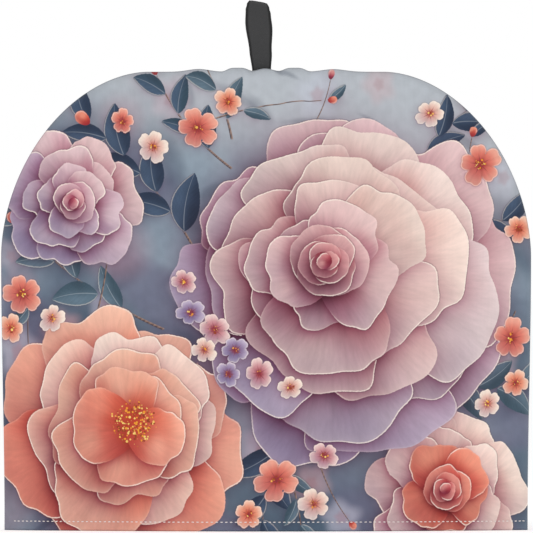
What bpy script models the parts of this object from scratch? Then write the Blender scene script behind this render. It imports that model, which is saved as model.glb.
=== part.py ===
"""Tea cosy: two padded cloth panels sewn together along a rounded arch, with a folded tape loop caught
in the top of the seam. It stands open on its hem. Metres, +Z up, the front faces -Y, and the origin is
under the middle of the hem."""

import math

import bmesh
import bpy
from mathutils import Vector

MM = 0.001

# Outline of the panels, seen from the front.
HEIGHT = 268 * MM  # hem to the flat part of the top seam
HEM_HALF_WIDTH = 153 * MM
WIDEST_HALF_WIDTH = 155 * MM
FLAT_TOP_HALF_WIDTH = 69 * MM
SHOULDER_DROP = 108 * MM  # height of the rounded shoulder
SHOULDER_POWER = 1.85  # 2 would be an ellipse
HEM_BAND = 6 * MM  # stitched turn-up, which stands upright

# Rises of the top seam between its gathers: (middle of the rise in x, height, spread).
TOP_RISES = (
    (-39 * MM, 1.8 * MM, 9 * MM),
    (-15.5 * MM, 2.3 * MM, 5.5 * MM),
    (-3 * MM, 0.9 * MM, 6 * MM),
    (16 * MM, 2.3 * MM, 5.5 * MM),
    (40 * MM, 1.8 * MM, 8 * MM),
)
RISE_REACH = 16 * MM  # how far below the seam a rise still lifts the cloth

# Gathers run down from the seam between the rises: (x at the seam, slant, length, depth of the trough).
GATHERS = (
    (-50 * MM, -0.35, 26 * MM, 0.7 * MM),
    (-26 * MM, -0.20, 38 * MM, 1.3 * MM),
    (8.5 * MM, 0.10, 32 * MM, 1.2 * MM),
    (27 * MM, 0.22, 40 * MM, 1.3 * MM),
    (53 * MM, 0.35, 28 * MM, 0.7 * MM),
)
GATHER_HALF_WIDTH = 5 * MM
GATHER_FADE_POWER = 2  # how fast a trough fades down its length

# Depth of the panels, front to back.
HALF_DEPTH = 54 * MM  # hem, middle of a panel to the seam plane
LENS_POWER = 2  # a lens-shaped hem, seen from above
TAPER_POWER = 1.7  # how late the depth closes towards the top seam
SEAM_GAP = 0.3 * MM  # between the two panels
SEAM_FACE = 1 * MM  # straight part of the turned seam edge
SEAM_ROLL = 4.5 * MM  # radius of the turned seam edge
WALL = 3 * MM  # cloth and wadding

# Grid of a panel.
COLUMNS = 44
WALL_ROWS = 12
SHOULDER_ROWS = 13

# Tape loop.
TAPE_THICKNESS = 1.1 * MM
LOOP_HEIGHT = 41.5 * MM  # above the top seam
LOOP_TUCK = 4.5 * MM  # sewn in below the top of the seam
LOOP_FOOT_X = -2.3 * MM
LOOP_LEAN = -2.4 * MM  # sideways shift of the crown from the feet
LOOP_BELLY = 8.5 * MM  # width factor of the teardrop that the legs follow
LOOP_BELLY_POWER = 1.5  # how high the teardrop opens
LOOP_LEG_OFFSET = 0.72 * MM  # each leg's middle from the seam plane, at the feet
LOOP_TILT = math.radians(10)  # the crown leans down to the right
LOOP_CROWN_DROOP = 1.6 * MM  # the tape's edges curl down at the fold
LOOP_CROWN_POWER = 8  # how near the fold the curl starts
LOOP_CURL_POWER = 4  # how near the tape's edges the curl starts
LOOP_STEPS = 48
LOOP_STRIPS = 6
# Half width of the tape by height above the seam.
TAPE_HALF_WIDTHS = (
    (-LOOP_TUCK, 5.4 * MM),
    (0 * MM, 5.4 * MM),
    (12 * MM, 6.5 * MM),
    (28 * MM, 7.6 * MM),
    (38 * MM, 6.9 * MM),
    (LOOP_HEIGHT, 6.0 * MM),
)
# The panels part round the tape's feet.
SLOT_PARTING = 1.75 * MM
SLOT_HALF_WIDTH = 7.5 * MM
SLOT_FADE = 5 * MM
SLOT_REACH = 14 * MM

CLOTH = ("printed_cloth", (0.56, 0.42, 0.46, 1.0), 0.85)
TAPE = ("loop_tape", (0.055, 0.056, 0.058, 1.0), 0.8)


def clear_scene():
    """Removes every object, so that the model starts from nothing."""
    for obj in list(bpy.data.objects):
        bpy.data.objects.remove(obj)


def new_collection(name):
    collection = bpy.data.collections.new(name)
    bpy.context.scene.collection.children.link(collection)
    return collection


def new_material(name, colour, roughness):
    material = bpy.data.materials.new(name)
    material.use_nodes = True
    shader = material.node_tree.nodes["Principled BSDF"]
    shader.inputs["Base Color"].default_value = colour
    shader.inputs["Roughness"].default_value = roughness
    shader.inputs["Metallic"].default_value = 0.0
    return material


def smooth_step(value):
    value = min(1.0, max(0.0, value))
    return value * value * (3 - 2 * value)


def bell(offset, spread):
    """1 at no offset, falling smoothly to nothing past two spreads."""
    return math.exp(-((offset / spread) ** 2))


def half_width(z):
    """Half the panel's width at height z: nearly straight sides, then close to a quarter ellipse."""
    shoulder_start = HEIGHT - SHOULDER_DROP
    if z <= HEM_BAND:
        return HEM_HALF_WIDTH
    if z <= shoulder_start:
        share = smooth_step((z - HEM_BAND) / (shoulder_start - HEM_BAND))
        return HEM_HALF_WIDTH + (WIDEST_HALF_WIDTH - HEM_HALF_WIDTH) * share
    climb = min(1.0, (z - shoulder_start) / SHOULDER_DROP)
    across = (1 - climb**SHOULDER_POWER) ** (1 / SHOULDER_POWER)
    return FLAT_TOP_HALF_WIDTH + (WIDEST_HALF_WIDTH - FLAT_TOP_HALF_WIDTH) * across


def row_height(row):
    """Height of a grid row: the hem band, the wall in even steps, the shoulder in even turns of its curve."""
    shoulder_start = HEIGHT - SHOULDER_DROP
    if row == 0:
        return 0.0
    if row <= WALL_ROWS:
        return HEM_BAND + (shoulder_start - HEM_BAND) * (row - 1) / (WALL_ROWS - 1)
    turn = (row - WALL_ROWS) / SHOULDER_ROWS * math.pi / 2
    return shoulder_start + SHOULDER_DROP * math.sin(turn)


def arch_points():
    """Points along the arch from the left end of the hem to the right one, without the top's rises."""
    last = WALL_ROWS + SHOULDER_ROWS
    left = [Vector((-half_width(row_height(row)), row_height(row))) for row in range(last + 1)]
    right = [Vector((-point.x, point.y)) for point in reversed(left)]
    return left + right


def distance_to_arch(point, arch):
    """Shortest distance in the seam plane from a point to the arch."""
    shortest = math.inf
    for start, end in zip(arch, arch[1:]):
        run = end - start
        share = max(0.0, min(1.0, (point - start).dot(run) / run.length_squared))
        shortest = min(shortest, (point - start - run * share).length)
    return shortest


def top_rise(x):
    return sum(rise * bell(x - middle, spread) for middle, rise, spread in TOP_RISES)


def gather_depth(x, below_top):
    """Depth of the gathers' troughs at a place this far below the top seam."""
    depth = 0.0
    for seam_x, slant, length, trough in GATHERS:
        along = below_top / length
        if along < 1:
            fade = (1 - along) ** GATHER_FADE_POWER * smooth_step(below_top / SEAM_ROLL)
            depth += trough * fade * bell(x - seam_x - slant * below_top, GATHER_HALF_WIDTH)
    return depth


def slot_parting(x, inset):
    """How far a panel stands off the seam plane to leave room for the tape's feet."""
    sideways = max(0.0, abs(x - LOOP_FOOT_X) - SLOT_HALF_WIDTH)
    return SLOT_PARTING * bell(sideways, SLOT_FADE) * bell(inset, SLOT_REACH)


def panel_depth(x, z, arch):
    """Distance of a panel's outer face from the seam plane: the turned edge, then a bulge that is a lens
    at the hem and closes towards the top."""
    inset = distance_to_arch(Vector((x, z)), arch)
    short = 1 - min(1.0, inset / SEAM_ROLL)
    roll = SEAM_ROLL * math.sqrt(1 - short * short)
    edge = SEAM_GAP / 2 + SEAM_FACE
    across = min(1.0, abs(x) / half_width(z))
    climb = max(0.0, z - HEM_BAND) / (HEIGHT - HEM_BAND)
    bulge = (HALF_DEPTH - edge - SEAM_ROLL) * (1 - across**LENS_POWER) * (1 - climb**TAPER_POWER)
    return edge + roll + bulge + slot_parting(x, inset) - gather_depth(x, HEIGHT - z)


def panel_point(across, row, side, arch):
    """A grid point of a panel. across runs from -1 to 1, and side is -1 for the front and 1 for the back."""
    height = row_height(row)
    x = half_width(height) * math.sin(across * math.pi / 2)
    z = height + top_rise(x) * bell(HEIGHT - height, RISE_REACH)
    return Vector((x, side * panel_depth(x, height, arch), z))


def seam_edges(mesh):
    """The open edges that lie on the arch, which is every open edge above the hem."""
    return [
        edge
        for edge in mesh.edges
        if edge.is_boundary and max(vert.co.z for vert in edge.verts) > HEM_BAND / 2
    ]


def turn_seam_edge(mesh, side):
    """Carries the cloth straight in to the seam, square to the seam plane."""
    made = bmesh.ops.extrude_edge_only(mesh, edges=seam_edges(mesh))
    for vert in made["geom"]:
        if isinstance(vert, bmesh.types.BMVert):
            parting = slot_parting(vert.co.x, HEIGHT + top_rise(vert.co.x) - vert.co.z)
            vert.co.y = side * (SEAM_GAP / 2 + parting)


def add_wall(obj, thickness, offset):
    wall = obj.modifiers.new("wall", "SOLIDIFY")
    wall.thickness = thickness
    wall.offset = offset
    wall.use_even_offset = True
    wall.use_quality_normals = True


def make_object(name, mesh, material, collection):
    """Turns an edited mesh into a smooth-shaded object."""
    data = bpy.data.meshes.new(name)
    mesh.to_mesh(data)
    mesh.free()
    data.shade_smooth()
    data.materials.append(material)
    obj = bpy.data.objects.new(name, data)
    collection.objects.link(obj)
    return obj


def make_panel(name, side, material, collection):
    """One cloth panel as an open surface with its wall added inwards."""
    arch = arch_points()
    rows = WALL_ROWS + SHOULDER_ROWS
    mesh = bmesh.new()
    bmesh.ops.create_grid(mesh, x_segments=COLUMNS, y_segments=rows, size=1)
    for vert in mesh.verts:
        row = round((vert.co.y + 1) / 2 * rows)
        vert.co = panel_point(vert.co.x, row, side, arch)
    turn_seam_edge(mesh, side)
    if side > 0:
        bmesh.ops.reverse_faces(mesh, faces=mesh.faces)
    panel = make_object(name, mesh, material, collection)
    add_wall(panel, WALL, -1)
    return panel


def tape_half_width(height):
    """Half the tape's width at a height above the seam, from the table of half widths."""
    for (low, narrow), (high, wide) in zip(TAPE_HALF_WIDTHS, TAPE_HALF_WIDTHS[1:]):
        if height <= high:
            return narrow + (wide - narrow) * smooth_step((height - low) / (high - low))
    return TAPE_HALF_WIDTHS[-1][1]


def loop_point(along, across):
    """A point of the tape's middle surface. along runs from one foot over the crown to the other, 0 to 1, and
    across from -1 to 1. Seen from the side the tape follows a teardrop with its point at the feet."""
    turn = along * 2 * math.pi
    climb = (1 - math.cos(turn)) / 2
    above_seam = -LOOP_TUCK + (LOOP_HEIGHT - TAPE_THICKNESS / 2 + LOOP_TUCK) * climb
    share = smooth_step(climb)
    crown = climb**LOOP_CROWN_POWER
    offset = across * tape_half_width(above_seam)
    x = LOOP_FOOT_X + LOOP_LEAN * share + offset * math.cos(LOOP_TILT * share)
    y = -LOOP_LEG_OFFSET * math.cos(turn / 2) - LOOP_BELLY * math.sin(turn) * climb**LOOP_BELLY_POWER
    curl = LOOP_CROWN_DROOP * crown * across**LOOP_CURL_POWER
    z = HEIGHT + above_seam - offset * math.sin(LOOP_TILT * share) - curl
    return Vector((x, y, z))


def make_loop(name, material, collection):
    """The folded tape, its two feet side by side in the seam."""
    mesh = bmesh.new()
    bmesh.ops.create_grid(mesh, x_segments=LOOP_STRIPS, y_segments=LOOP_STEPS, size=1)
    for vert in mesh.verts:
        vert.co = loop_point((vert.co.y + 1) / 2, vert.co.x)
    loop = make_object(name, mesh, material, collection)
    add_wall(loop, TAPE_THICKNESS, 0)
    return loop


def main():
    clear_scene()
    collection = new_collection("tea_cosy")
    cloth = new_material(*CLOTH)
    tape = new_material(*TAPE)
    make_panel("front_panel", -1, cloth, collection)
    make_panel("back_panel", 1, cloth, collection)
    make_loop("hanging_loop", tape, collection)


main()
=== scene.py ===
"""Looks of a printed, padded tea cosy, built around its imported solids.

Two cloth panels meet in a seam along a rounded arch, a tape loop stands in its top, and a row of stitches
holds the hem. The generic floral print is painted in layers: each face of the cloth keeps the two painted
edges that cross it or run close by, with the colours on both sides, so that the material can draw them
sharply. Lengths are in metres on the object and in millimetres on the print.
"""

from __future__ import annotations

import logging
import math
from dataclasses import dataclass, field
from enum import Enum
from typing import Sequence

import bpy
import numpy as np
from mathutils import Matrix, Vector

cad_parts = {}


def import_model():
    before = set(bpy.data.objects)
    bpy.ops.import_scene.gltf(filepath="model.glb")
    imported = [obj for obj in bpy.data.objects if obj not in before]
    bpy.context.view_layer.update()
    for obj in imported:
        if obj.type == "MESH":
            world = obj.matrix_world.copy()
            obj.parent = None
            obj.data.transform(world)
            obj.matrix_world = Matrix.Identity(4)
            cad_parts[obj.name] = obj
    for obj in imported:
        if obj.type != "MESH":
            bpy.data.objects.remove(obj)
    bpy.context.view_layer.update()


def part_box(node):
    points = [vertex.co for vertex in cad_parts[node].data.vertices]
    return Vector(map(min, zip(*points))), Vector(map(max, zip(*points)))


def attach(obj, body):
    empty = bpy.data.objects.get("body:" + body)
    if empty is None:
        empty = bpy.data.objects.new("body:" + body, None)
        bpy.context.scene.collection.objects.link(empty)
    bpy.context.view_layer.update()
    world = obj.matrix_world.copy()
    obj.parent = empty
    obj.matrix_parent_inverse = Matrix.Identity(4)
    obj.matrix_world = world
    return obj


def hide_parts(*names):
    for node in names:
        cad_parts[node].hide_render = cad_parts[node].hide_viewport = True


LOG = logging.getLogger("tea_cosy")
MM = 0.001
BODY = "root"

Array = np.ndarray
Place = tuple[float, float]
Random = np.random.Generator
Socket = bpy.types.NodeSocket
Material = bpy.types.Material


# ---------------------------------------------------------------- small tools


def smooth_step(value: Array | float) -> Array:
    """0 below 0, 1 above 1, and the cubic 3v^2 - 2v^3 between."""
    value = np.clip(value, 0.0, 1.0)
    return value * value * (3 - 2 * value)


def bell(offset: Array | float, spread: float) -> Array:
    """exp(-(offset / spread)^2): 1 at no offset, next to nothing past two spreads."""
    return np.exp(-((offset / spread) ** 2))


def mix(first: Array, second: Array, share: Array | float) -> Array:
    """first where share is 0, second where it is 1, in a straight line between."""
    share = np.asarray(share)
    return first + (second - first) * (share[..., None] if share.ndim else share)


def turned(x: Array, y: Array, angle: float) -> tuple[Array, Array]:
    """x and y along axes turned by an angle: x cos a + y sin a, and y cos a - x sin a."""
    cosine, sine = math.cos(angle), math.sin(angle)
    return x * cosine + y * sine, y * cosine - x * sine


def lengths(line: Array) -> Array:
    """Distance along a line of points from its first point to each of them."""
    return np.r_[0, np.cumsum(np.linalg.norm(np.diff(line, axis=0), axis=-1))]


def linear(*codes: str) -> Array:
    """Colours in linear light.

    Args:
        codes: colours as on a screen, red, green and blue in two hexadecimal digits each.

    Returns:
        Three numbers for one code, or a row of three for each: ((c + 0.055) / 1.055)^2.4, or c / 12.92 in the
        darkest shades.
    """
    share = np.array([list(bytes.fromhex(code)) for code in codes]) / 255.0
    colours = np.where(share <= 0.04045, share / 12.92, ((share + 0.055) / 1.055) ** 2.4)
    return colours if len(codes) > 1 else colours[0]


@dataclass(frozen=True)
class Drift:
    """A smooth random field: plane waves of like length in random directions, summed and held to -1..1."""

    seed: int
    scale: float
    waves: int = 9

    def at(self, x: Array, y: Array) -> Array:
        """The field's value.

        Args:
            x: first coordinates.
            y: second coordinates.

        Returns:
            tanh of the sum of sin(2 pi (x cos a + y sin a) / length + phase) over the waves.
        """
        draw = np.random.default_rng(self.seed)
        total = np.zeros(np.broadcast(x, y).shape)
        for _ in range(self.waves):
            angle, phase = draw.uniform(0, 2 * math.pi, 2)
            length = self.scale * draw.uniform(0.7, 1.5)
            total += np.sin(2 * math.pi * turned(x, y, angle)[0] / length + phase)
        return np.tanh(total / math.sqrt(self.waves / 2) * 0.8)


def grid_faces(rows: Array, flip: bool = False) -> Array:
    """Quads over a grid of vertex numbers.

    Args:
        rows: vertex numbers, one row for each line of the grid.
        flip: turns the faces round.

    Returns:
        Four vertex numbers a face: along the row, then to the next row.
    """
    quads = np.stack([rows[:-1, :-1], rows[:-1, 1:], rows[1:, 1:], rows[1:, :-1]], axis=-1).reshape(-1, 4)
    return quads[:, ::-1] if flip else quads


def zip_faces(fine: Array, coarse: Array, flip: bool = False) -> Array:
    """Triangles between two lines of vertices that have unlike counts.

    Each step of the fine line takes the coarse vertex at the same share of the way, and each step of the
    coarse line takes the fine vertex at which that choice changes.

    Args:
        fine: vertex numbers of the line with more vertices.
        coarse: vertex numbers of the other line.
        flip: turns the faces round.

    Returns:
        Three vertex numbers a face.
    """
    share = (np.arange(len(fine) - 1) + 0.5) / (len(fine) - 1)
    chosen = np.rint(share * (len(coarse) - 1)).astype(int)
    change = np.searchsorted(chosen, np.arange(1, len(coarse)))
    along_fine = np.stack([fine[:-1], fine[1:], coarse[chosen]], axis=-1)
    along_coarse = np.stack([fine[change], coarse[1:], coarse[:-1]], axis=-1)
    faces = np.concatenate([along_fine, along_coarse])
    return faces[:, ::-1] if flip else faces


@dataclass
class Piece:
    """A mesh in the making: its points, its faces by material, and the vectors that its points carry. The
    first faces may carry vectors at their corners too, four for each face, the last of which a triangle
    leaves out."""

    name: str
    points: Array
    faces: list[tuple[Array, int]]
    on_points: dict[str, Array] = field(default_factory=dict)
    on_corners: dict[str, Array] = field(default_factory=dict)

    def build(self, materials: Sequence[Material]) -> bpy.types.Object:
        """Makes the object, which rides on the body.

        Args:
            materials: the materials, in the order that the faces number them.

        Returns:
            The new object, at the origin.
        """
        mesh = bpy.data.meshes.new(self.name)
        listed = [face for faces, _ in self.faces for face in faces.tolist()]
        mesh.from_pydata(self.points.tolist(), [], listed)
        numbers = np.concatenate([np.full(len(faces), number) for faces, number in self.faces])
        mesh.polygons.foreach_set("material_index", numbers.astype(np.int32))
        mesh.polygons.foreach_set("use_smooth", np.full(len(listed), True))
        sides = np.concatenate([np.full(len(faces), faces.shape[1]) for faces, _ in self.faces])
        used = np.arange(4) < sides[:, None]
        carried = [(name, "POINT", values) for name, values in self.on_points.items()]
        for name, values in self.on_corners.items():
            corners = np.zeros((len(sides), 4, 3))
            corners[: len(values)] = values
            carried.append((name, "CORNER", corners[used]))
        for name, domain, values in carried:
            attribute = mesh.attributes.new(name, "FLOAT_VECTOR", domain)
            attribute.data.foreach_set("vector", values.astype(np.float32).ravel())
        for material in materials:
            mesh.materials.append(material)
        mesh.update()
        obj = bpy.data.objects.new(self.name, mesh)
        bpy.context.scene.collection.objects.link(obj)
        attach(obj, BODY)
        LOG.info("%s: %d points, %d faces", self.name, len(self.points), len(listed))
        return obj


# ---------------------------------------------------------------- the print

FAR = 9.0  # millimetres from an edge, where there is none
OUTER_REACH = 1.1  # millimetres outside a painted edge to which its contour reaches
COVERED = 1.25  # millimetres inside it at which nothing below can show any more
LINE_REACH = 0.8  # millimetres from a line's side at which a point of the face that it crosses may lie
LIGHT = (0.55, 0.83)  # where the painted light comes from
GOLDEN_ANGLE = math.radians(137.5)

WHITE, STEM_INK, BARK_INK, VEIN_INK = linear("ffffff", "30222e", "b08e7a", "78323e")
SHADOW_TINT = np.array([0.62, 0.94, 0.80])

# A petal's colours: its base, its middle, its tip, and the tint on the side away from the light.
BLUSH = linear("a84254", "cc8c92", "ecceca", "846c92")
LILAC = linear("763e64", "947ea2", "c4b6cc", "5a5688")
PEACH = linear("d44a32", "ea9274", "f6cab2", "ca6462")
CORAL = linear("a4282a", "d85846", "f09c82", "aa3e4c")
CREAM = linear("d87868", "e6b8aa", "f7e5d7", "a88ea6")
ROSE = linear("801a30", "bc4856", "e6a09c", "823a5c")
SALMON = linear("b03a3c", "da7464", "eea692", "a65460")

# A leaf's dark and light halves, and the ground's colours.
NAVY_LEAF, TEAL_LEAF = linear("222e44", "4e627c"), linear("324856", "6c8292")
SLATE, MIST, TEAL, DUSK, TOP_MIST = linear("5a687c", "92a2b0", "465c6e", "6a6a82", "bec3c9")
NAVY, ROSE_HAZE, PALE_HAZE, HEART_HAZE = linear("2c3a54", "b88c98", "babcc6", "aa7076")


class Canvas:
    """The print as it builds up on the cloth's faces.

    Each face keeps two painted edges, one over the other. Its corners carry the distance inside each edge,
    the strength of its rim, and the colours on both sides of it, so that the finish can draw the edges far
    sharper than the points lie. A face chooses its edges as a whole, and neighbours agree wherever one edge
    runs on.
    """

    def __init__(self, x: Array, y: Array, faces: Array, ground: Array) -> None:
        """Starts with the ground alone.

        Args:
            x: millimetres across the cloth, for each point.
            y: millimetres up it.
            faces: four point numbers for each face.
            ground: the ground's colour at each point.
        """
        self.x, self.y, self.faces = x, y, faces
        self.order = np.full(len(x), -1)
        self.top, self.over, self.under = (ground[faces] for _ in range(3))
        self.top_edge, self.edge = np.full(faces.shape, -FAR), np.full(faces.shape, FAR)
        self.top_rim, self.rim, self.stamens, self.line_strength = (np.zeros(faces.shape) for _ in range(4))
        self.line, self.line_width = np.full(faces.shape, FAR), np.full(faces.shape, 0.2)
        self.line_ink = np.tile(STEM_INK, (*faces.shape, 1))
        self.grain = np.zeros((*faces.shape, 3))

    def near(self, middle: Place, reach: float) -> tuple[Array, Array, Array]:
        """The points within reach of a place.

        Args:
            middle: the place.
            reach: millimetres round it.

        Returns:
            The points' numbers, and how far across and up from the place each of them lies.
        """
        x, y = self.x - middle[0], self.y - middle[1]
        spots = np.flatnonzero(x**2 + y**2 < reach**2)
        return spots, x[spots], y[spots]

    def touched(self, spots: Array) -> tuple[Array, Array]:
        """The faces whose points all belong to some points.

        Args:
            spots: numbers of the points.

        Returns:
            The faces' numbers, and where each of their corners stands among the points given.
        """
        self.order[spots] = np.arange(len(spots))
        corners = self.order[self.faces]
        self.order[spots] = -1
        faces = np.flatnonzero(corners.min(axis=1) >= 0)
        return faces, corners[faces]

    def glow(self, spots: Array, colour: Array, share: Array, stamens: Array) -> None:
        """Mixes a colour into all that lies at some points, calms the rims there and lets stamens grow.

        Args:
            spots: numbers of the points.
            colour: the colour.
            share: how much of it at each point.
            stamens: how thick the stamens grow at each point.
        """
        faces, corner = self.touched(spots)
        for layer in (self.top, self.over, self.under):
            layer[faces] = mix(layer[faces], colour, share[corner])
        for rim in (self.top_rim, self.rim):
            rim[faces] *= 1 - share[corner]
        self.stamens[faces] = np.maximum(self.stamens[faces], stamens[corner])

    def settle(self, faces: Array) -> None:
        """Moves the upper edge of some faces down to be their lower one.

        The lower edge that they had is softened into the colours. It stays, and the upper one goes, where it
        crosses the face and the upper one only passes by.

        Args:
            faces: numbers of the faces.
        """
        passing = self.top_edge[faces].max(axis=1) <= 0
        crossed = (self.edge[faces].min(axis=1) < 0) & (self.edge[faces].max(axis=1) > 0)
        shown = self.top_edge[faces].max(axis=1) > -OUTER_REACH
        kept = faces[shown & ~(passing & crossed)]
        soft = mix(self.under[kept], self.over[kept], smooth_step(self.edge[kept] + 0.5))
        whole = self.top_edge[kept].min(axis=1) > COVERED
        self.under[kept] = np.where(whole[:, None, None], self.top[kept], soft)
        for upper, lower in ((self.top, self.over), (self.top_edge, self.edge), (self.top_rim, self.rim)):
            lower[kept] = upper[kept]

    def lay(
        self, spots: Array, inside: Array, colour: Array, rim: Array, shade: Array, reach: float, grain: Array
    ) -> None:
        """Lays one shape over what is there.

        Args:
            spots: numbers of the points that the shape may touch.
            inside: distance inside the shape's edge at each of them, below 0 outside.
            colour: the shape's colour at each of them, carried on past its edge.
            rim: strength of the pale rim along its edge.
            shade: strength of the shadow that it casts at each of them.
            reach: millimetres over which the shadow fades.
            grain: where each of them lies in the shape's streaks, across and along, and how strong they are.
        """
        faces, corner = self.touched(spots)
        fall = (shade * np.exp(np.minimum(inside, 0) / reach))[corner]
        for layer in (self.top, self.over, self.under):
            layer[faces] *= 1 - fall[..., None] * SHADOW_TINT
        near = inside[corner].max(axis=1) > -OUTER_REACH
        faces, corner = faces[near], corner[near]
        inside, colour, rim, grain = (values[corner] for values in (inside, colour, rim, grain))
        self.settle(faces)
        self.top[faces], self.top_edge[faces], self.top_rim[faces] = colour, inside, rim
        whole = inside.min(axis=1) > COVERED
        self.over[faces[whole]] = self.under[faces[whole]] = colour[whole]
        self.edge[faces[whole]], self.rim[faces[whole]] = FAR, 0
        part = inside.max(axis=1) > 0
        self.grain[faces[part]] = grain[part]
        self.stamens[faces] *= 1 - smooth_step(inside + 0.5)
        self.line_strength[faces] *= 1 - smooth_step(inside + 0.8)

    def draw(self, spots: Array, aside: Array, width: Array, strength: Array, ink: Array) -> None:
        """Draws a thin line.

        Args:
            spots: numbers of the points near the line.
            aside: signed distance from the line at each of them.
            width: half the line's width.
            strength: how strongly it is inked.
            ink: its colour, one for all or one for each.
        """
        faces, corner = self.touched(spots)
        ink = np.broadcast_to(ink, (len(spots), 3))
        aside, width, strength, ink = (values[corner] for values in (aside, width, strength, ink))
        kept = ((np.abs(aside) - width).min(axis=1) < LINE_REACH) & (strength.max(axis=1) > 0.01)
        faces = faces[kept]
        self.line[faces], self.line_width[faces] = aside[kept], width[kept]
        self.line_strength[faces], self.line_ink[faces] = strength[kept], ink[kept]

    def result(self) -> dict[str, Array]:
        """What the print gives the mesh.

        Returns:
            What the corners carry, by name: each edge with its rim, the line, the grain and the colours.
        """
        return {
            "print_top_edge": np.stack([self.top_edge, self.top_rim, self.stamens], axis=-1),
            "print_over_edge": np.stack([self.edge, self.rim, 0 * self.rim], axis=-1),
            "print_line": np.stack([self.line, self.line_width, self.line_strength], axis=-1),
            "print_top": self.top,
            "print_over": self.over,
            "print_under": self.under,
            "print_ink": self.line_ink,
            "print_grain": self.grain,
        }


def toward_light(x: Array, y: Array) -> Array:
    """How far each direction points to the painted light, -1 to 1."""
    return (x * LIGHT[0] + y * LIGHT[1]) / (np.hypot(x, y) + 1e-6)


@dataclass(frozen=True)
class Petal:
    """One petal, an ellipse that widens towards its tip and waves along it."""

    middle: Place
    turn: float
    half_length: float
    half_width: float
    seed: int
    taper: float = 0.22
    ripple: float = 0.05
    notch: float = 0.0
    rim: float = 0.6
    shade: float = 0.3
    shade_reach: float = 5.0
    waves: tuple[tuple[int, float], ...] = ((2, 0.8), (3, 0.9), (4, 0.6), (6, 0.5), (9, 0.3), (13, 0.15))

    def lay(self, canvas: Canvas, palette: Array) -> None:
        """Paints the petal.

        In the petal's own axes a point has p along and q across, each over its half size. The outline is a
        circle there, plus sines of the angle that grow towards the tip, less a bell for the notch.

        Args:
            canvas: what is painted on.
            palette: the petal's colours.
        """
        draw = np.random.default_rng(self.seed)
        size = max(self.half_length, self.half_width)
        spots, x, y = canvas.near(self.middle, size * 1.35 + 3 * self.shade_reach)
        if not len(spots):
            return
        p, q = turned(x, y, self.turn)
        p, q = p / self.half_length, q / self.half_width
        q = q / (1 + self.taper * np.clip(p, -1.2, 1.2))
        angle, radius = np.arctan2(q, p), np.hypot(p, q)
        wave = sum(
            draw.uniform(0.5, 1) * strength * np.sin(number * angle + draw.uniform(0, 2 * math.pi))
            for number, strength in self.waves
        )
        outline = 1 + self.ripple * wave * smooth_step((np.cos(angle) + 0.6) / 1.2)
        outline -= self.notch * bell(angle, 0.3)
        slope = np.hypot(np.cos(angle) / self.half_length, np.sin(angle) / self.half_width)
        inside = (outline - radius) / slope
        light = (x * LIGHT[0] + y * LIGHT[1]) / size
        fan = np.arctan2(q, p + 1.35)
        colour = self.colour(draw, palette, p, q, fan, light, np.clip(inside, 0, None) / (0.07 * size + 0.4))
        across, along = fan * size * 1.1 + self.seed % 977, p * size * 0.12
        streaks = np.stack([across, along, smooth_step(p + 1.2)], axis=-1)
        patchy = 0.12 + 0.88 * smooth_step(0.45 + 0.8 * np.sin(angle * 1.5 + draw.uniform(0, 6)))
        rim = self.rim * patchy * smooth_step((p + 0.35) / 0.6)
        shade = self.shade * (0.75 - 0.5 * toward_light(x, y))
        canvas.lay(spots, inside, colour, rim, shade, self.shade_reach, streaks)

    def colour(
        self, draw: Random, palette: Array, p: Array, q: Array, fan: Array, light: Array, inside: Array
    ) -> Array:
        """The petal's colour at each point.

        Args:
            draw: the petal's random numbers.
            palette: its colours.
            p: place along it, -1 to 1.
            q: place across it, -1 to 1.
            fan: direction from behind its base.
            light: place towards the painted light, -1 to 1.
            inside: distance inside its edge, over the width of its pale border.

        Returns:
            Base, middle and tip colours eased along it, with veins that fan out from its base, a soft fold, a
            pinch, a pale border, and the shaded tint on the side away from the light.
        """
        base, middle, tip, shaded = palette
        along = 0.5 + 0.5 * np.clip(p, -1.3, 1.3)
        patches = Drift(self.seed, 1.3).at(p, q)
        colour = mix(base, middle, smooth_step((along + 0.06 * patches) / 0.5))
        colour = mix(colour, tip, 0.85 * smooth_step((along - 0.36 + 0.1 * patches) / 0.62))
        colour = mix(colour, shaded, 0.42 * smooth_step(0.45 - 0.75 * light - 0.12 * patches))
        fold = bell(fan - draw.uniform(-0.3, 0.3), 0.13) * (1 - smooth_step((along - 0.25) / 0.6))
        veins = Drift(self.seed + 1, 0.16, 14).at(fan, 0.1 * p) * smooth_step(along / 0.3)
        colour = mix(colour, base, 0.4 * fold)
        blush = bell(p - draw.uniform(-0.7, -0.1), 0.5) * bell(q - draw.uniform(-0.5, 0.5), 0.5)
        colour = mix(colour, base, draw.uniform(0.0, 0.75) * blush)
        gleam = bell(p - draw.uniform(0.1, 0.6), 0.4) * bell(q - draw.uniform(-0.6, 0.6), 0.4)
        colour = mix(colour, tip, draw.uniform(0.2, 0.8) * gleam)
        colour = mix(colour, tip, 0.5 * np.exp(-inside) * smooth_step((along - 0.25) / 0.4))
        crease = (fan - draw.uniform(-0.35, 0.35) - 0.12 * np.sin(2.5 * p)) / 0.06
        pinch = crease * bell(crease, 1.0) * smooth_step(along / 0.5) * (1 - smooth_step((along - 0.6) / 0.4))
        level = 0.99 + 0.11 * np.clip(light, -1.3, 1.3) + 0.035 * veins + draw.uniform(-0.09, 0.05)
        return colour * (level + draw.uniform(0.03, 0.12) * pinch)[:, None]


class Heart(Enum):
    """What a bloom has in its middle."""

    ROSE = "wrapped petals"
    STAMENS = "golden stamens"


@dataclass(frozen=True)
class Whorl:
    """A ring of petals, by its share of the bloom's reach."""

    petals: int
    ring: float
    half_length: float
    half_width: float


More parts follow.
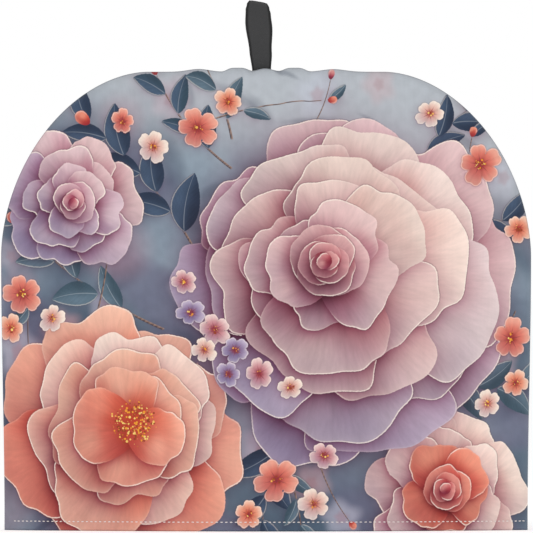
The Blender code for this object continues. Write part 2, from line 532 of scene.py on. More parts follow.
@dataclass(frozen=True)
class Bloom:
    """A double bloom: whorls of petals from the outside in, and a heart."""

    middle: Place
    reach: float
    seed: int
    cool: tuple[Array, ...]
    warm: tuple[Array, ...]
    whorls: tuple[Whorl, ...]
    heart: Heart
    heart_size: float
    lean: Place = (0.0, 0.0)
    spread: float = 0.1

    def palette(self, number: int, x: float, y: float) -> Array:
        """A petal's colours.

        Args:
            number: its whorl's number.
            x: how far across from the bloom's middle it lies.
            y: how far up from it.

        Returns:
            The whorl's cool palette away from the light, its warm one towards it, and a mix between.
        """
        cool, warm = (shades[min(number, len(shades) - 1)] for shades in (self.cool, self.warm))
        share = smooth_step(0.5 + 0.62 * (x * LIGHT[0] + y * LIGHT[1]) / self.reach)
        return mix(cool, warm, share)

    def lay(self, canvas: Canvas) -> None:
        """Paints the whorls and then the heart.

        Args:
            canvas: what is painted on.
        """
        draw = np.random.default_rng(self.seed)
        lean = math.hypot(*self.lean) / self.reach
        away = math.atan2(-self.lean[1], -self.lean[0])
        low, high = 1 - self.spread, 1 + self.spread
        for number, whorl in enumerate(self.whorls):
            start = draw.uniform(0, 2 * math.pi)
            shift = 1 - whorl.ring / self.whorls[0].ring
            middle = (self.middle[0] + self.lean[0] * shift, self.middle[1] + self.lean[1] * shift)
            for step in draw.permutation(whorl.petals):
                turn = start + 2 * math.pi * (step + draw.uniform(-0.25, 0.25)) / whorl.petals
                size = draw.uniform(low, high) * (1 + lean * math.cos(turn - away))
                ring = self.reach * whorl.ring * (0.5 + 0.5 * size) * draw.uniform(1 - self.spread / 2, 1.02)
                x, y = ring * math.cos(turn), ring * math.sin(turn)
                Petal(
                    middle=(middle[0] + x, middle[1] + y),
                    turn=turn + draw.uniform(-0.2, 0.2),
                    half_length=self.reach * whorl.half_length * size,
                    half_width=self.reach * whorl.half_width * size * draw.uniform(0.9, 1.2),
                    seed=int(draw.integers(1 << 30)),
                    ripple=0.085,
                    notch=max(0.0, draw.uniform(-0.12, 0.14)),
                    rim=0.75,
                    shade=0.36 if number == 0 else 0.7,
                    shade_reach=0.055 * self.reach + 1,
                ).lay(canvas, self.palette(number, x + draw.normal(0, 0.16) * self.reach, y))
        middle = (self.middle[0] + self.lean[0], self.middle[1] + self.lean[1])
        if self.heart is Heart.ROSE:
            self.lay_rose(canvas, middle, draw)
        else:
            self.lay_stamens(canvas, middle)

    def lay_rose(self, canvas: Canvas, middle: Place, draw: Random) -> None:
        """Paints wrapped petals: discs that shrink and step round by the golden angle.

        Args:
            canvas: what is painted on.
            middle: the heart's middle.
            draw: the bloom's random numbers.
        """
        layers = max(5, round(self.reach * self.heart_size / 1.9))
        for layer in range(layers):
            left = 1 - layer / layers
            radius = self.reach * self.heart_size * (0.14 + 0.86 * left)
            turn = layer * GOLDEN_ANGLE
            x, y = radius * math.cos(turn), radius * math.sin(turn)
            Petal(
                middle=(middle[0] + 0.24 * x, middle[1] + 0.24 * y),
                turn=turn,
                half_length=radius,
                half_width=radius * draw.uniform(0.92, 1.15),
                seed=int(draw.integers(1 << 30)),
                taper=0.05,
                ripple=0.045,
                rim=0.7,
                shade=0.5,
                shade_reach=0.04 * self.reach + 0.8,
            ).lay(canvas, mix(self.palette(len(self.whorls), x, y), ROSE, 0.15 + 0.75 * (1 - left)))

    def lay_stamens(self, canvas: Canvas, middle: Place) -> None:
        """Paints a glowing eye, where the finish scatters stamens.

        Args:
            canvas: what is painted on.
            middle: the eye's middle.
        """
        radius = self.reach * self.heart_size
        spots, x, y = canvas.near(middle, 2.2 * radius)
        far = np.hypot(x, y) / (radius * (1 + 0.12 * Drift(self.seed, radius).at(x, y)))
        glow, stamens = np.exp(-(far**2) * 1.1), 1 - smooth_step((far - 0.55) / 0.5)
        canvas.glow(spots, linear("be4228"), 0.8 * glow, stamens)


@dataclass(frozen=True)
class Blossom:
    """A small open flower of five petals with fine lines and a few stamens."""

    middle: Place
    reach: float
    turn: float
    palette: Array
    seed: int
    petals: int = 5

    def outline(self, angle: Array, sizes: Array) -> tuple[Array, Array]:
        """The flower's radius at each angle, and the place across the petal there.

        Args:
            angle: angles from the first petal's middle.
            sizes: one factor for each petal.

        Returns:
            The reach times 0.46 + 0.54 (1 - |u|^2.4)^0.5 less a notch at u = 0, and u, which runs from -1 to
            1 across each petal.
        """
        sector = 2 * math.pi / self.petals
        number = np.rint(angle / sector)
        u = (angle / sector - number) * 2
        lobe = np.sqrt(np.clip(1 - np.abs(u) ** 2.4, 0.004, 1))
        size = sizes[number.astype(int) % self.petals]
        return self.reach * size * (0.46 + 0.54 * lobe - 0.07 * bell(u, 0.22)), u

    def lay(self, canvas: Canvas) -> None:
        """Paints the five petals as one shape, then their parting lines, veins and eye.

        Args:
            canvas: what is painted on.
        """
        draw = np.random.default_rng(self.seed)
        spots, x, y = canvas.near(self.middle, 1.6 * self.reach + 5)
        squash, lean = draw.uniform(0.84, 0.98), draw.uniform(0, math.pi)
        p, q = turned(x, y, lean)
        q = q / squash
        far, angle = np.hypot(p, q), np.arctan2(q, p) - self.turn
        sizes = draw.uniform(0.9, 1.06, self.petals)
        radius, u = self.outline(angle, sizes)
        step = 0.02
        change = (self.outline(angle + step, sizes)[0] - self.outline(angle - step, sizes)[0]) / (2 * step)
        inside = (radius - far) / np.sqrt(1 + np.clip(change / (far + 0.5), -4, 4) ** 2)
        share = far / self.reach
        side = toward_light(x, y)
        base, middle, tip, shaded = self.palette
        colour = mix(base, middle, smooth_step((share - 0.08) / 0.4))
        colour = mix(colour, tip, smooth_step((share - 0.42) / 0.5))
        colour = mix(colour, shaded, 0.35 * smooth_step(0.2 - 0.8 * side) * smooth_step(share / 0.6))
        parting = bell((1 - np.abs(u)) * far, 0.9) * smooth_step(share / 0.25)
        level = 1 + 0.05 * side * share - 0.2 * parting + 0.03 * np.sin(u * 11) * smooth_step(share / 0.4)
        rim = 0.4 * smooth_step((share - 0.5) / 0.3)
        shade = 0.26 * (0.8 - 0.6 * side)
        streaks = np.stack([u * 5 + self.seed, share, 0.7 * smooth_step(share / 0.5)], axis=-1)
        canvas.lay(spots, inside, colour * level[:, None], rim, shade, 0.12 * self.reach + 0.5, streaks)
        strength = 0.6 * (1 - smooth_step((share - 0.3) / 0.25)) * (np.abs(u) < 0.9)
        aside, width = far * np.sin(u * math.pi / self.petals), np.full(len(spots), 0.22)
        canvas.draw(spots, aside, width, strength, VEIN_INK)
        eye = bell(share, 0.2)
        canvas.glow(spots, linear("a0322c"), 0.75 * eye, smooth_step(1.4 * eye))


@dataclass(frozen=True)
class Leaf:
    """A pointed leaf with a pale midrib."""

    foot: Place
    turn: float
    length: float
    width: float
    tones: Array
    curl: float

    def lay(self, canvas: Canvas) -> None:
        """Paints the leaf: half its width is (1 - p^2)^0.8 of the full half width, about a bent midrib.

        Args:
            canvas: what is painted on.
        """
        half = self.length / 2
        middle = (self.foot[0] + half * math.cos(self.turn), self.foot[1] + half * math.sin(self.turn))
        spots, x, y = canvas.near(middle, half + 8)
        if not len(spots):
            return
        p, q = turned(x, y, self.turn)
        p = p / half
        q = q + self.curl * half * (1 - p**2)
        body = np.clip(1 - p**2, 0, None) ** 0.8 * (1 - 0.25 * p)
        inside = (0.5 * self.width * body - np.abs(q)) * 0.9 - np.maximum(np.abs(p) - 1, 0) * half
        colour = mix(*self.tones, 0.15 + 0.6 * smooth_step(0.5 + 1.6 * q / self.width))
        ribs = p * half - 1.4 * np.abs(q)
        patches = Drift(int(self.length * 97), 9).at(x, y)
        colour = colour * (1 + 0.045 * np.sin(ribs * 2 * math.pi / 3.6) + 0.07 * patches)[:, None]
        shade = 0.18 * (1 - toward_light(x, y))
        streaks = np.stack([ribs * 0.9, q * 0.15, np.full(len(q), 0.8)], axis=-1)
        canvas.lay(spots, inside, colour, 0.3 * smooth_step(q), shade, 3.0, streaks)
        strength = 0.5 * smooth_step((inside + 0.2) / 0.8) * (np.abs(p) < 0.93)
        canvas.draw(spots, q, 0.12 * (1.6 - p), strength, mix(self.tones[1], WHITE, 0.25))


@dataclass(frozen=True)
class Spray:
    """A bent twig, an arc of a circle, with leaves on both sides and perhaps a bud at its end."""

    foot: Place
    turn: float
    length: float
    bend: float
    leaves: int
    leaf_length: float
    tones: Array
    seed: int
    bud: Array | None = None
    bud_reach: float = 4.0
    width: float = 0.75
    first: float = 0.25

    def at(self, way: float) -> tuple[float, float, float]:
        """A point and heading on the twig.

        Args:
            way: share of the twig's length.

        Returns:
            x, y and the heading.
        """
        radius, heading = self.length / self.bend, self.turn + self.bend * way
        x = self.foot[0] + radius * (math.sin(heading) - math.sin(self.turn))
        y = self.foot[1] - radius * (math.cos(heading) - math.cos(self.turn))
        return x, y, heading

    def draw_twig(self, canvas: Canvas) -> None:
        """Draws the twig from the signed distance to its circle.

        Args:
            canvas: what is painted on.
        """
        radius = self.length / self.bend
        centre = (self.foot[0] - radius * math.sin(self.turn), self.foot[1] + radius * math.cos(self.turn))
        middle_x, middle_y, middle_heading = self.at(0.5)
        spots, _, _ = canvas.near((middle_x, middle_y), self.length / 2 + 4)
        x, y = canvas.x[spots] - centre[0], canvas.y[spots] - centre[1]
        aside = np.hypot(x, y) - abs(radius)
        toward = math.copysign(1.0, radius)
        heading = np.arctan2(toward * x, -toward * y)
        passed = (heading - self.turn - self.bend / 2 + math.pi) % (2 * math.pi) - math.pi
        way = passed / self.bend + 0.5
        strength = 0.9 * ((way > 0) & (way < 1) & (np.abs(aside) < 2.5))
        half = self.width * (1 - 0.55 * np.clip(way, 0, 1))
        lit_side = math.copysign(1.0, math.sin(middle_heading - 0.58) * toward)
        lit = smooth_step(0.5 + 1.1 * aside / half * lit_side)
        canvas.draw(spots, aside, half, strength, mix(STEM_INK, BARK_INK, 0.85 * lit))

    def lay(self, canvas: Canvas) -> None:
        """Paints the twig, its leaves from the foot to the tip and its bud.

        Args:
            canvas: what is painted on.
        """
        self.draw_twig(canvas)
        draw = np.random.default_rng(self.seed)
        for number in range(self.leaves):
            way = self.first + (0.97 - self.first) * number / max(self.leaves - 1, 1)
            x, y, heading = self.at(way)
            side = 1 if number % 2 else -1
            size = self.leaf_length * (1 - 0.35 * way) * draw.uniform(0.85, 1.15)
            turn, width = heading + side * draw.uniform(0.55, 0.85), size * draw.uniform(0.4, 0.5)
            Leaf((x, y), turn, size, width, self.tones, side * 0.12).lay(canvas)
        if self.bud is not None:
            x, y, heading = self.at(1.0)
            reach = self.bud_reach
            Petal((x, y), heading, reach, 0.72 * reach, self.seed, ripple=0.02, rim=0.3, shade=0.1).lay(
                canvas, self.bud
            )


@dataclass(frozen=True)
class Haze:
    """An out-of-focus shape in the ground, an ellipse or a lobed one with a soft edge."""

    middle: Place
    half_length: float
    half_width: float
    turn: float
    colour: Array
    strength: float
    lobes: int = 0

    def lay(self, x: Array, y: Array, ground: Array) -> Array:
        """The ground with the shape blended in.

        Args:
            x: millimetres across.
            y: millimetres up.
            ground: the ground's colours.

        Returns:
            The new colours.
        """
        p, q = turned(x - self.middle[0], y - self.middle[1], self.turn)
        p, q = p / self.half_length, q / self.half_width
        reach = 1.05 + (0.13 * np.cos(self.lobes * np.arctan2(q, p)) if self.lobes else 0)
        soft = 0.5 if self.lobes else 0.8
        share = 1 - smooth_step((np.hypot(p, q) / reach - 0.35) / soft)
        return mix(ground, self.colour, self.strength * share)


# Hazes by chance: tint, strength, slimness and number.
HAZES = (
    (MIST, 0.55, 0.75, 12),
    (NAVY, 0.38, 0.4, 22),
    (ROSE_HAZE, 0.36, 0.8, 9),
    (TEAL, 0.42, 0.35, 16),
    (PALE_HAZE, 0.45, 0.7, 9),
    (NAVY, 0.42, 0.16, 16),
)

# Flowers out of focus: place, reach, tint and strength.
HAZY_FLOWERS = (
    ((-150, 104), 17, linear("c4c0ce"), 0.62),
    ((-122, 118), 13, linear("cea8ac"), 0.5),
    ((-96, 132), 11, linear("bebece"), 0.5),
    ((-2, 46), 17, linear("c6bcca"), 0.6),
    ((26, 28), 14, linear("ceaeb2"), 0.5),
    ((44, 8), 13, linear("c0c0d0"), 0.55),
    ((-34, 18), 12, linear("b49eb0"), 0.5),
    ((140, 96), 15, linear("c8b4bc"), 0.5),
    ((-56, 254), 14, linear("c4b0ba"), 0.45),
    ((30, 258), 15, linear("c8ceda"), 0.5),
    ((66, 262), 12, linear("ceb0b4"), 0.4),
    ((140, 206), 14, linear("c6c8d4"), 0.45),
    ((-152, 160), 12, linear("bcacba"), 0.4),
)

SPRAYS = (
    Spray((-34, 150), 2.0, 118, 0.5, 7, 36, NAVY_LEAF, 21, CORAL, 5.0),
    Spray((-60, 118), 2.75, 112, -0.45, 6, 32, TEAL_LEAF, 22, CORAL, 4.0),
    Spray((-20, 214), 2.5, 74, -0.5, 5, 26, linear("324856", "4e627c"), 28, CORAL, 4.5),
    Spray((14, 66), 4.25, 78, 0.5, 5, 34, NAVY_LEAF, 23),
    Spray((0, 60), 5.3, 62, -0.5, 4, 24, TEAL_LEAF, 29),
    Spray((96, 92), 5.9, 74, 0.6, 5, 32, TEAL_LEAF, 24, PEACH, 4.5),
    Spray((84, 206), 1.1, 76, -0.7, 6, 30, NAVY_LEAF, 25, CORAL, 4.5),
    Spray((112, 176), 0.3, 58, -0.5, 4, 28, NAVY_LEAF, 26),
    Spray((-20, 232), 1.75, 50, 0.4, 3, 26, TEAL_LEAF, 27, CORAL, 4.0),
    Spray((-104, 116), 1.2, 86, 0.5, 0, 20, TEAL_LEAF, 41, CORAL, 3.0, 0.55),
    Spray((-140, 146), 4.5, 62, 0.4, 2, 17, TEAL_LEAF, 42, ROSE, 2.6, 0.5),
    Spray((-30, 244), 0.35, 70, -0.4, 2, 18, TEAL_LEAF, 43, CORAL, 2.8, 0.5),
    Spray((22, 232), 0.9, 40, 0.5, 0, 18, TEAL_LEAF, 44, ROSE, 2.6, 0.45),
    Spray((126, 150), 1.9, 84, -0.55, 3, 20, NAVY_LEAF, 45, CORAL, 3.0, 0.6),
    Spray((150, 128), 4.3, 70, -0.4, 2, 16, TEAL_LEAF, 46, ROSE, 2.6, 0.5),
    Spray((28, 52), 4.9, 54, 0.5, 0, 16, TEAL_LEAF, 47, CORAL, 2.8, 0.5),
    Spray((-22, 44), 4.2, 42, -0.5, 2, 16, NAVY_LEAF, 48, ROSE, 2.6, 0.45),
)

FULL_WHORLS = (
    Whorl(10, 0.66, 0.36, 0.34),
    Whorl(9, 0.52, 0.36, 0.32),
    Whorl(7, 0.40, 0.34, 0.31),
    Whorl(6, 0.28, 0.29, 0.27),
    Whorl(5, 0.17, 0.22, 0.22),
)
OPEN_WHORLS = (
    Whorl(8, 0.62, 0.40, 0.38),
    Whorl(7, 0.46, 0.38, 0.35),
    Whorl(6, 0.32, 0.33, 0.31),
    Whorl(5, 0.22, 0.26, 0.25),
)
SMALL_WHORLS = (Whorl(7, 0.60, 0.42, 0.38), Whorl(6, 0.42, 0.36, 0.34), Whorl(5, 0.26, 0.28, 0.26))

WARM_PEACH, COOL_PEACH = (PEACH, CREAM, PEACH, PEACH), (CORAL, PEACH, PEACH, CORAL)
WARM_BLUSH, COOL_BLUSH = (BLUSH, CREAM, CREAM, CREAM, BLUSH), (LILAC, LILAC, BLUSH, BLUSH, BLUSH)
BLOOMS = (
    Bloom((108, 24), 50, 31, (BLUSH, BLUSH, CORAL), (CREAM, CREAM, CORAL), SMALL_WHORLS, Heart.ROSE, 0.26),
    Bloom((-114, 192), 40, 32, (LILAC,), (BLUSH,), SMALL_WHORLS, Heart.ROSE, 0.28),
    Bloom((-84, 58), 72, 33, COOL_PEACH, WARM_PEACH, OPEN_WHORLS, Heart.STAMENS, 0.2, (6, 5)),
    Bloom((44, 150), 99, 34, COOL_BLUSH, WARM_BLUSH, FULL_WHORLS, Heart.ROSE, 0.2, (-9, 8)),
)

# Blossoms: x, y, reach and palette.
POSY = (
    (-44, 128, 9, LILAC),
    (-30, 118, 10, BLUSH),
    (-48, 146, 8, BLUSH),
    (-18, 106, 9, LILAC),
    (-36, 106, 8, CREAM),
    (-4, 92, 10, BLUSH),
    (-22, 92, 8, LILAC),
    (14, 84, 8, CREAM),
    (-40, 238, 13, SALMON),
    (-66, 226, 10, CREAM),
    (-22, 254, 9, PEACH),
    (-84, 240, 8, SALMON),
    (-146, 138, 13, SALMON),
    (-128, 124, 9, CREAM),
    (-154, 118, 9, PEACH),
    (6, 30, 14, SALMON),
    (28, 16, 10, CREAM),
    (-10, 10, 9, PEACH),
    (34, 44, 9, BLUSH),
    (148, 112, 13, SALMON),
    (152, 86, 9, PEACH),
    (134, 74, 9, CREAM),
    (126, 214, 13, SALMON),
    (96, 244, 9, CREAM),
    (150, 176, 9, PEACH),
)


@dataclass(frozen=True)
class Print:
    """The whole design: a hazy ground, sprays of leaves, four kinds of bloom and scattered blossoms."""

    seed: int = 5
    first_blossom_seed: int = 60

    def ground(self, x: Array, y: Array) -> Array:
        """The ground: greyed blues mixed by smooth random fields, with hazy shapes in it.

        Args:
            x: millimetres across the cloth.
            y: millimetres up it.

        Returns:
            A colour for each point.
        """
        fields = [Drift(self.seed + n, scale).at(x, y) for n, scale in enumerate((150, 90, 70, 28))]
        colour = np.tile(SLATE, (len(x), 1))
        for tint, share in (
            (MIST, 0.5 + 0.45 * fields[0] + 0.12 * fields[3]),
            (MIST, 0.55 * smooth_step(0.1 + (x + 1.4 * (y - 170)) / 260)),
            (NAVY, 0.5 * smooth_step(0.1 - (x + 0.8 * (y - 120)) / 300)),
            (TEAL, 0.6 * smooth_step(0.2 + fields[1])),
            (DUSK, 0.7 * smooth_step(0.15 + fields[2])),
            (TOP_MIST, 0.9 * smooth_step((y + 0.25 * x - 190) / 62)),
        ):
            colour = mix(colour, tint, share)
        draw = np.random.default_rng(self.seed)
        for tint, strength, slim, count in HAZES:
            for _ in range(count):
                size = draw.uniform(8, 24)
                place = (draw.uniform(-168, 168), draw.uniform(-5, 272))
                width, turn = size * slim * draw.uniform(0.8, 1.2), draw.uniform(0, math.pi)
                haze = Haze(place, size, width, turn, tint, strength * draw.uniform(0.6, 1))
                colour = haze.lay(x, y, colour)
        for place, reach, tint, strength in HAZY_FLOWERS:
            turn = draw.uniform(0, math.pi)
            for size, shade, share in ((1.3, tint, 1), (0.45, HEART_HAZE, 0.6)):
                haze = Haze(place, size * reach, 0.85 * size * reach, turn, shade, share * strength, 5)
                colour = haze.lay(x, y, colour)
        return colour * (1 + 0.03 * Drift(self.seed + 9, 7).at(x, y))[:, None]

    def paint(self, x: Array, y: Array, faces: Array) -> Canvas:
        """Paints the design: the ground, then the sprays, the blooms and the blossoms.

        Args:
            x: millimetres across the cloth, for each point.
            y: millimetres up it.
            faces: four point numbers for each printed face.

        Returns:
            The finished canvas.
        """
        canvas = Canvas(x, y, faces, self.ground(x, y))
        for motif in (*SPRAYS, *BLOOMS):
            motif.lay(canvas)
        for number, (across, up, reach, palette) in enumerate(POSY, self.first_blossom_seed):
            Blossom((across, up), reach, 0.9 * across, palette, number).lay(canvas)
        return canvas


# ---------------------------------------------------------------- the cosy's form


@dataclass(frozen=True)
class Outline:
    """The panels' arch, seen from the front: nearly straight sides, rounded shoulders and a flat top."""

    height: float
    widest_half_width: float
    hem_half_width: float = 153 * MM
    flat_top_half_width: float = 69 * MM
    shoulder_drop: float = 108 * MM
    shoulder_power: float = 1.85
    hem_band: float = 6 * MM

    @property
    def shoulder_start(self) -> float:
        """Height at which the shoulder starts."""
        return self.height - self.shoulder_drop

    @property
    def shoulder_reach(self) -> float:
        """Width of the shoulder, from the flat top's end to the widest place."""
        return self.widest_half_width - self.flat_top_half_width

    def round_off(self, share: Array) -> Array:
        """The shoulder's fall from 1 to 0: (1 - share^p)^(1 / p)."""
        return (1 - share**self.shoulder_power) ** (1 / self.shoulder_power)

    def side_half_width(self, z: Array) -> Array:
        """Half width of the straight side: the hem's, easing to the widest at the shoulder's start."""
        share = smooth_step((z - self.hem_band) / (self.shoulder_start - self.hem_band))
        return self.hem_half_width + (self.widest_half_width - self.hem_half_width) * share

    def half_width(self, z: Array) -> Array:
        """Half width at each height.

        Args:
            z: heights.

        Returns:
            The side's half width, and above it the flat top's plus the shoulder's.
        """
        climb = np.clip((z - self.shoulder_start) / self.shoulder_drop, 0.0, 1.0)
        above = self.flat_top_half_width + self.shoulder_reach * self.round_off(climb)
        return np.where(z <= self.shoulder_start, self.side_half_width(z), above)

    def half_arch(self, way: Array, inset: float) -> tuple[Array, Array]:
        """Points along the right half of the arch, set in by the same amount all round.

        Args:
            way: 0 to 1 up the side, 1 to 2 round the shoulder, 2 to 3 along the top to the middle.
            inset: distance in from the arch.

        Returns:
            x and z of each point.
        """
        climb, turn, run = (np.clip(way - start, 0.0, 1.0) for start in range(3))
        sine = np.sin(turn * math.pi / 2)
        shoulder_x = self.flat_top_half_width + (self.shoulder_reach - inset) * self.round_off(sine)
        side_x = self.side_half_width(climb * self.shoulder_start) - inset
        x = np.where(way <= 1, side_x, shoulder_x) - self.flat_top_half_width * run
        return x, self.shoulder_start * climb + (self.shoulder_drop - inset) * sine

    def nearness(self, x: Array, z: Array) -> tuple[Array, Array]:
        """How far in from the arch each point lies, and how far along it.

        Args:
            x: places across.
            z: heights.

        Returns:
            The distance in from the arch, and the distance along the arch up from the hem, both close to
            true.
        """
        across = np.maximum(np.abs(x) - self.flat_top_half_width, 0) / self.shoulder_reach
        up = np.maximum(z - self.shoulder_start, 0) / self.shoulder_drop
        ring = (across**self.shoulder_power + up**self.shoulder_power) ** (1 / self.shoulder_power)
        turn = np.arctan2(up, across + 1e-9)
        size = np.hypot(self.shoulder_reach * np.cos(turn), self.shoulder_drop * np.sin(turn))
        radius = (self.shoulder_reach + self.shoulder_drop) / 2
        top = np.maximum(self.flat_top_half_width - np.abs(x), 0) * (up > 0)
        return (1 - ring) * size, np.minimum(z, self.shoulder_start) + radius * turn + top


@dataclass(frozen=True)
class Crease:
    """A soft trough in the cloth, from one place on the front to another, in millimetres."""

    start: Place
    end: Place
    depth: float
    half_width: float

    def at(self, x: Array, z: Array) -> Array:
        """Depth of the trough.

        Args:
            x: places across.
            z: heights.

        Returns:
            The depth at each place: a bell across the trough times another along it.
        """
        (x0, z0), (x1, z1) = np.array([self.start, self.end]) * MM
        length, heading = math.hypot(x1 - x0, z1 - z0), math.atan2(z1 - z0, x1 - x0)
        along, aside = turned(x - x0, z - z0, heading)
        return self.depth * MM * bell(aside, self.half_width * MM) * bell(along / length - 0.5, 0.34)


@dataclass(frozen=True)
class PanelForm:
    """The outer face of a panel as a distance from the seam plane, for places across and heights.

    A rise is a place on the top seam, a lift, a spread and the power of its fall. A gather is the place at
    which it leaves the top seam, its slant, its length and its depth.
    """

    outline: Outline
    half_depth: float
    lens_power: float = 2
    taper_power: float = 1.7
    seam_gap: float = 0.3 * MM
    seam_face: float = 1 * MM
    seam_roll: float = 4.5 * MM
    wall: float = 3 * MM
    hem_round: float = 1.1 * MM
    stitch_line: float = 5.4 * MM
    stitch_groove: float = 0.5 * MM
    groove_half_width: float = 1.5 * MM
    rises: tuple[tuple[float, float, float, int], ...] = (
        (-39.5 * MM, 1.65 * MM, 8.8 * MM, 2),
        (-16.8 * MM, 2.35 * MM, 6.8 * MM, 4),
        (-0.5 * MM, 1.95 * MM, 6.2 * MM, 2),
        (16.6 * MM, 2.35 * MM, 7 * MM, 4),
        (39.5 * MM, 1.55 * MM, 9.5 * MM, 2),
    )
    rise_reach: float = 16 * MM
    gathers: tuple[tuple[float, float, float, float], ...] = (
        (-50 * MM, -0.35, 26 * MM, 0.7 * MM),
        (-26 * MM, -0.20, 38 * MM, 1.0 * MM),
        (8.5 * MM, 0.10, 32 * MM, 0.9 * MM),
        (27 * MM, 0.22, 40 * MM, 0.9 * MM),
        (53 * MM, 0.35, 28 * MM, 0.7 * MM),
    )
    gather_half_width: float = 5 * MM
    slot_middle: float = -2.3 * MM
    slot_parting: float = 1.75 * MM
    slot_half_width: float = 7.5 * MM
    slot_fade: float = 5 * MM
    slot_reach: float = 14 * MM
    pucker_pitch: float = 7.5 * MM
    pucker_depth: float = 0.45 * MM
    pucker_reach: float = 9 * MM
    pucker_shift: float = 2.2
    shift_length: float = 40 * MM
    least_pucker: float = 0.1
    strength_length: float = 55 * MM
    side_apart: float = 100 * MM
    dent_depth: float = 0.8 * MM
    dent_size: float = 95 * MM
    calm_hem: float = 30 * MM
    calm_edge: float = 25 * MM
    seed: int = 11
    creases: tuple[Crease, ...] = (
        Crease((-62, 262), (-70, 214), 0.5, 3.5),
        Crease((70, 262), (84, 206), 0.5, 3.5),
        Crease((-148, 120), (-92, 88), 0.6, 5),
        Crease((150, 96), (104, 70), 0.5, 5),
        Crease((-20, 40), (46, 30), 0.4, 5),
        Crease((118, 208), (88, 168), 0.5, 4),
        Crease((-126, 204), (-98, 172), 0.5, 4),
    )

    @property
    def edge(self) -> float:
        """Distance of the turned edge's start from the seam plane."""
        return self.seam_gap / 2 + self.seam_face

    @property
    def fullness(self) -> float:
        """How far the belly stands out past the turned edge."""
        return self.half_depth - self.edge - self.seam_roll

    def climb(self, h: Array) -> Array:
        """Share of the way up from the hem's band to the top."""
        return np.clip((h - self.outline.hem_band) / (self.outline.height - self.outline.hem_band), 0, 1)

    def lift(self, x: Array, h: Array) -> Array:
        """How far the top seam's rises lift the cloth.

        Args:
            x: places across.
            h: heights before the lift.

        Returns:
            The sum of lift exp(-|offset / spread|^power) over the rises, times a bell down from the seam.
        """
        total = 0 * x
        for place, rise, spread, power in self.rises:
            total = total + rise * np.exp(-(np.abs((x - place) / spread) ** power))
        return total * bell(self.outline.height - h, self.rise_reach)

    def parting(self, x: Array, below: Array) -> Array:
        """How far the panel stands off for the tape's feet: a bell past the slot's ends times one down."""
        aside = np.maximum(0.0, np.abs(x - self.slot_middle) - self.slot_half_width)
        return self.slot_parting * bell(aside, self.slot_fade) * bell(below, self.slot_reach)

    def gathered(self, x: Array, h: Array) -> Array:
        """Depth of the gathers that run down from the top seam.

        Args:
            x: places across.
            h: heights.

        Returns:
            A bell across each gather, which fades as the square of what is left of its length.
        """
        below = self.outline.height - h
        total = np.zeros(np.broadcast(x, h).shape)
        for seam_x, slant, length, trough in self.gathers:
            share = np.clip(1 - below / length, 0.0, 1.0) ** 2 * smooth_step(below / self.seam_roll)
            total += trough * share * bell(x - seam_x - slant * below, self.gather_half_width)
        return total

    def bulge(self, x: Array, h: Array) -> Array:
        """The panel's belly: a lens across the hem, times a taper that closes at the top."""
        across = np.clip(np.abs(x) / self.outline.half_width(h), 0.0, 1.0)
        return self.fullness * (1 - across**self.lens_power) * (1 - self.climb(h) ** self.taper_power)

    def soft_relief(self, x: Array, h: Array) -> Array:
        """What the cloth does on its own.

        Args:
            x: places across.
            h: heights.

        Returns:
            Seam puckers, which are uneven sines along the arch, less the creases, both gone at the seam
            itself, and broad dents.
        """
        inset, along = self.outline.nearness(x, h)
        side = np.sign(x) * self.side_apart
        shift = self.pucker_shift * Drift(self.seed, self.shift_length).at(along, side)
        mean = (1 + self.least_pucker) / 2
        strength = mean + (1 - mean) * Drift(self.seed + 1, self.strength_length).at(along, side)
        wave = strength * np.sin(2 * math.pi * along / self.pucker_pitch + shift)
        puckers = self.pucker_depth * wave * bell(inset, self.pucker_reach)
        troughs = sum(crease.at(x, h) for crease in self.creases)
        calm = smooth_step(h / self.calm_hem) * smooth_step(inset / self.calm_edge)
        dents = self.dent_depth * Drift(self.seed + 2, self.dent_size).at(x, h) * calm
        return (puckers - troughs) * smooth_step(inset / (2 * self.seam_roll)) + dents

    def hem_relief(self, h: Array) -> Array:
        """What the hem loses: its rounded lower edge and the groove that the stitches pull in."""
        rounding = 1 - np.sqrt(1 - np.clip(1 - h / self.hem_round, 0.0, 1.0) ** 2)
        groove = bell(h - self.stitch_line, self.groove_half_width)
        return self.hem_round * rounding + self.stitch_groove * groove

    def depth(self, x: Array, h: Array, turn: Array | float = math.pi / 2) -> Array:
        """Distance of the outer face from the seam plane.

        Args:
            x: places across.
            h: heights before the top's rises lift them.
            turn: how far round the turned edge, from 0 at the seam to a quarter turn where the face starts.

        Returns:
            The turned edge plus the belly, the slot and the relief, less the gathers and the hem's relief.
        """
        under_top = self.outline.height - h
        below = np.where(np.asarray(turn) >= math.pi / 2, under_top, self.seam_roll * (1 - np.cos(turn)))
        slot = self.parting(x, below) * (bell(under_top, self.slot_reach) > 0.01)
        relief = self.soft_relief(x, h) - self.hem_relief(h)
        standing = self.edge + self.bulge(x, h) + slot - self.gathered(x, h)
        return standing + (self.seam_roll + relief) * np.sin(turn)

    def turn_at(self, x: Array, h: Array) -> Array:
        """How far round the turned edge a place lies: arccos(1 - inset / roll), a quarter on the face."""
        return np.arccos(np.clip(1 - self.outline.nearness(x, h)[0] / self.seam_roll, 0, 1))

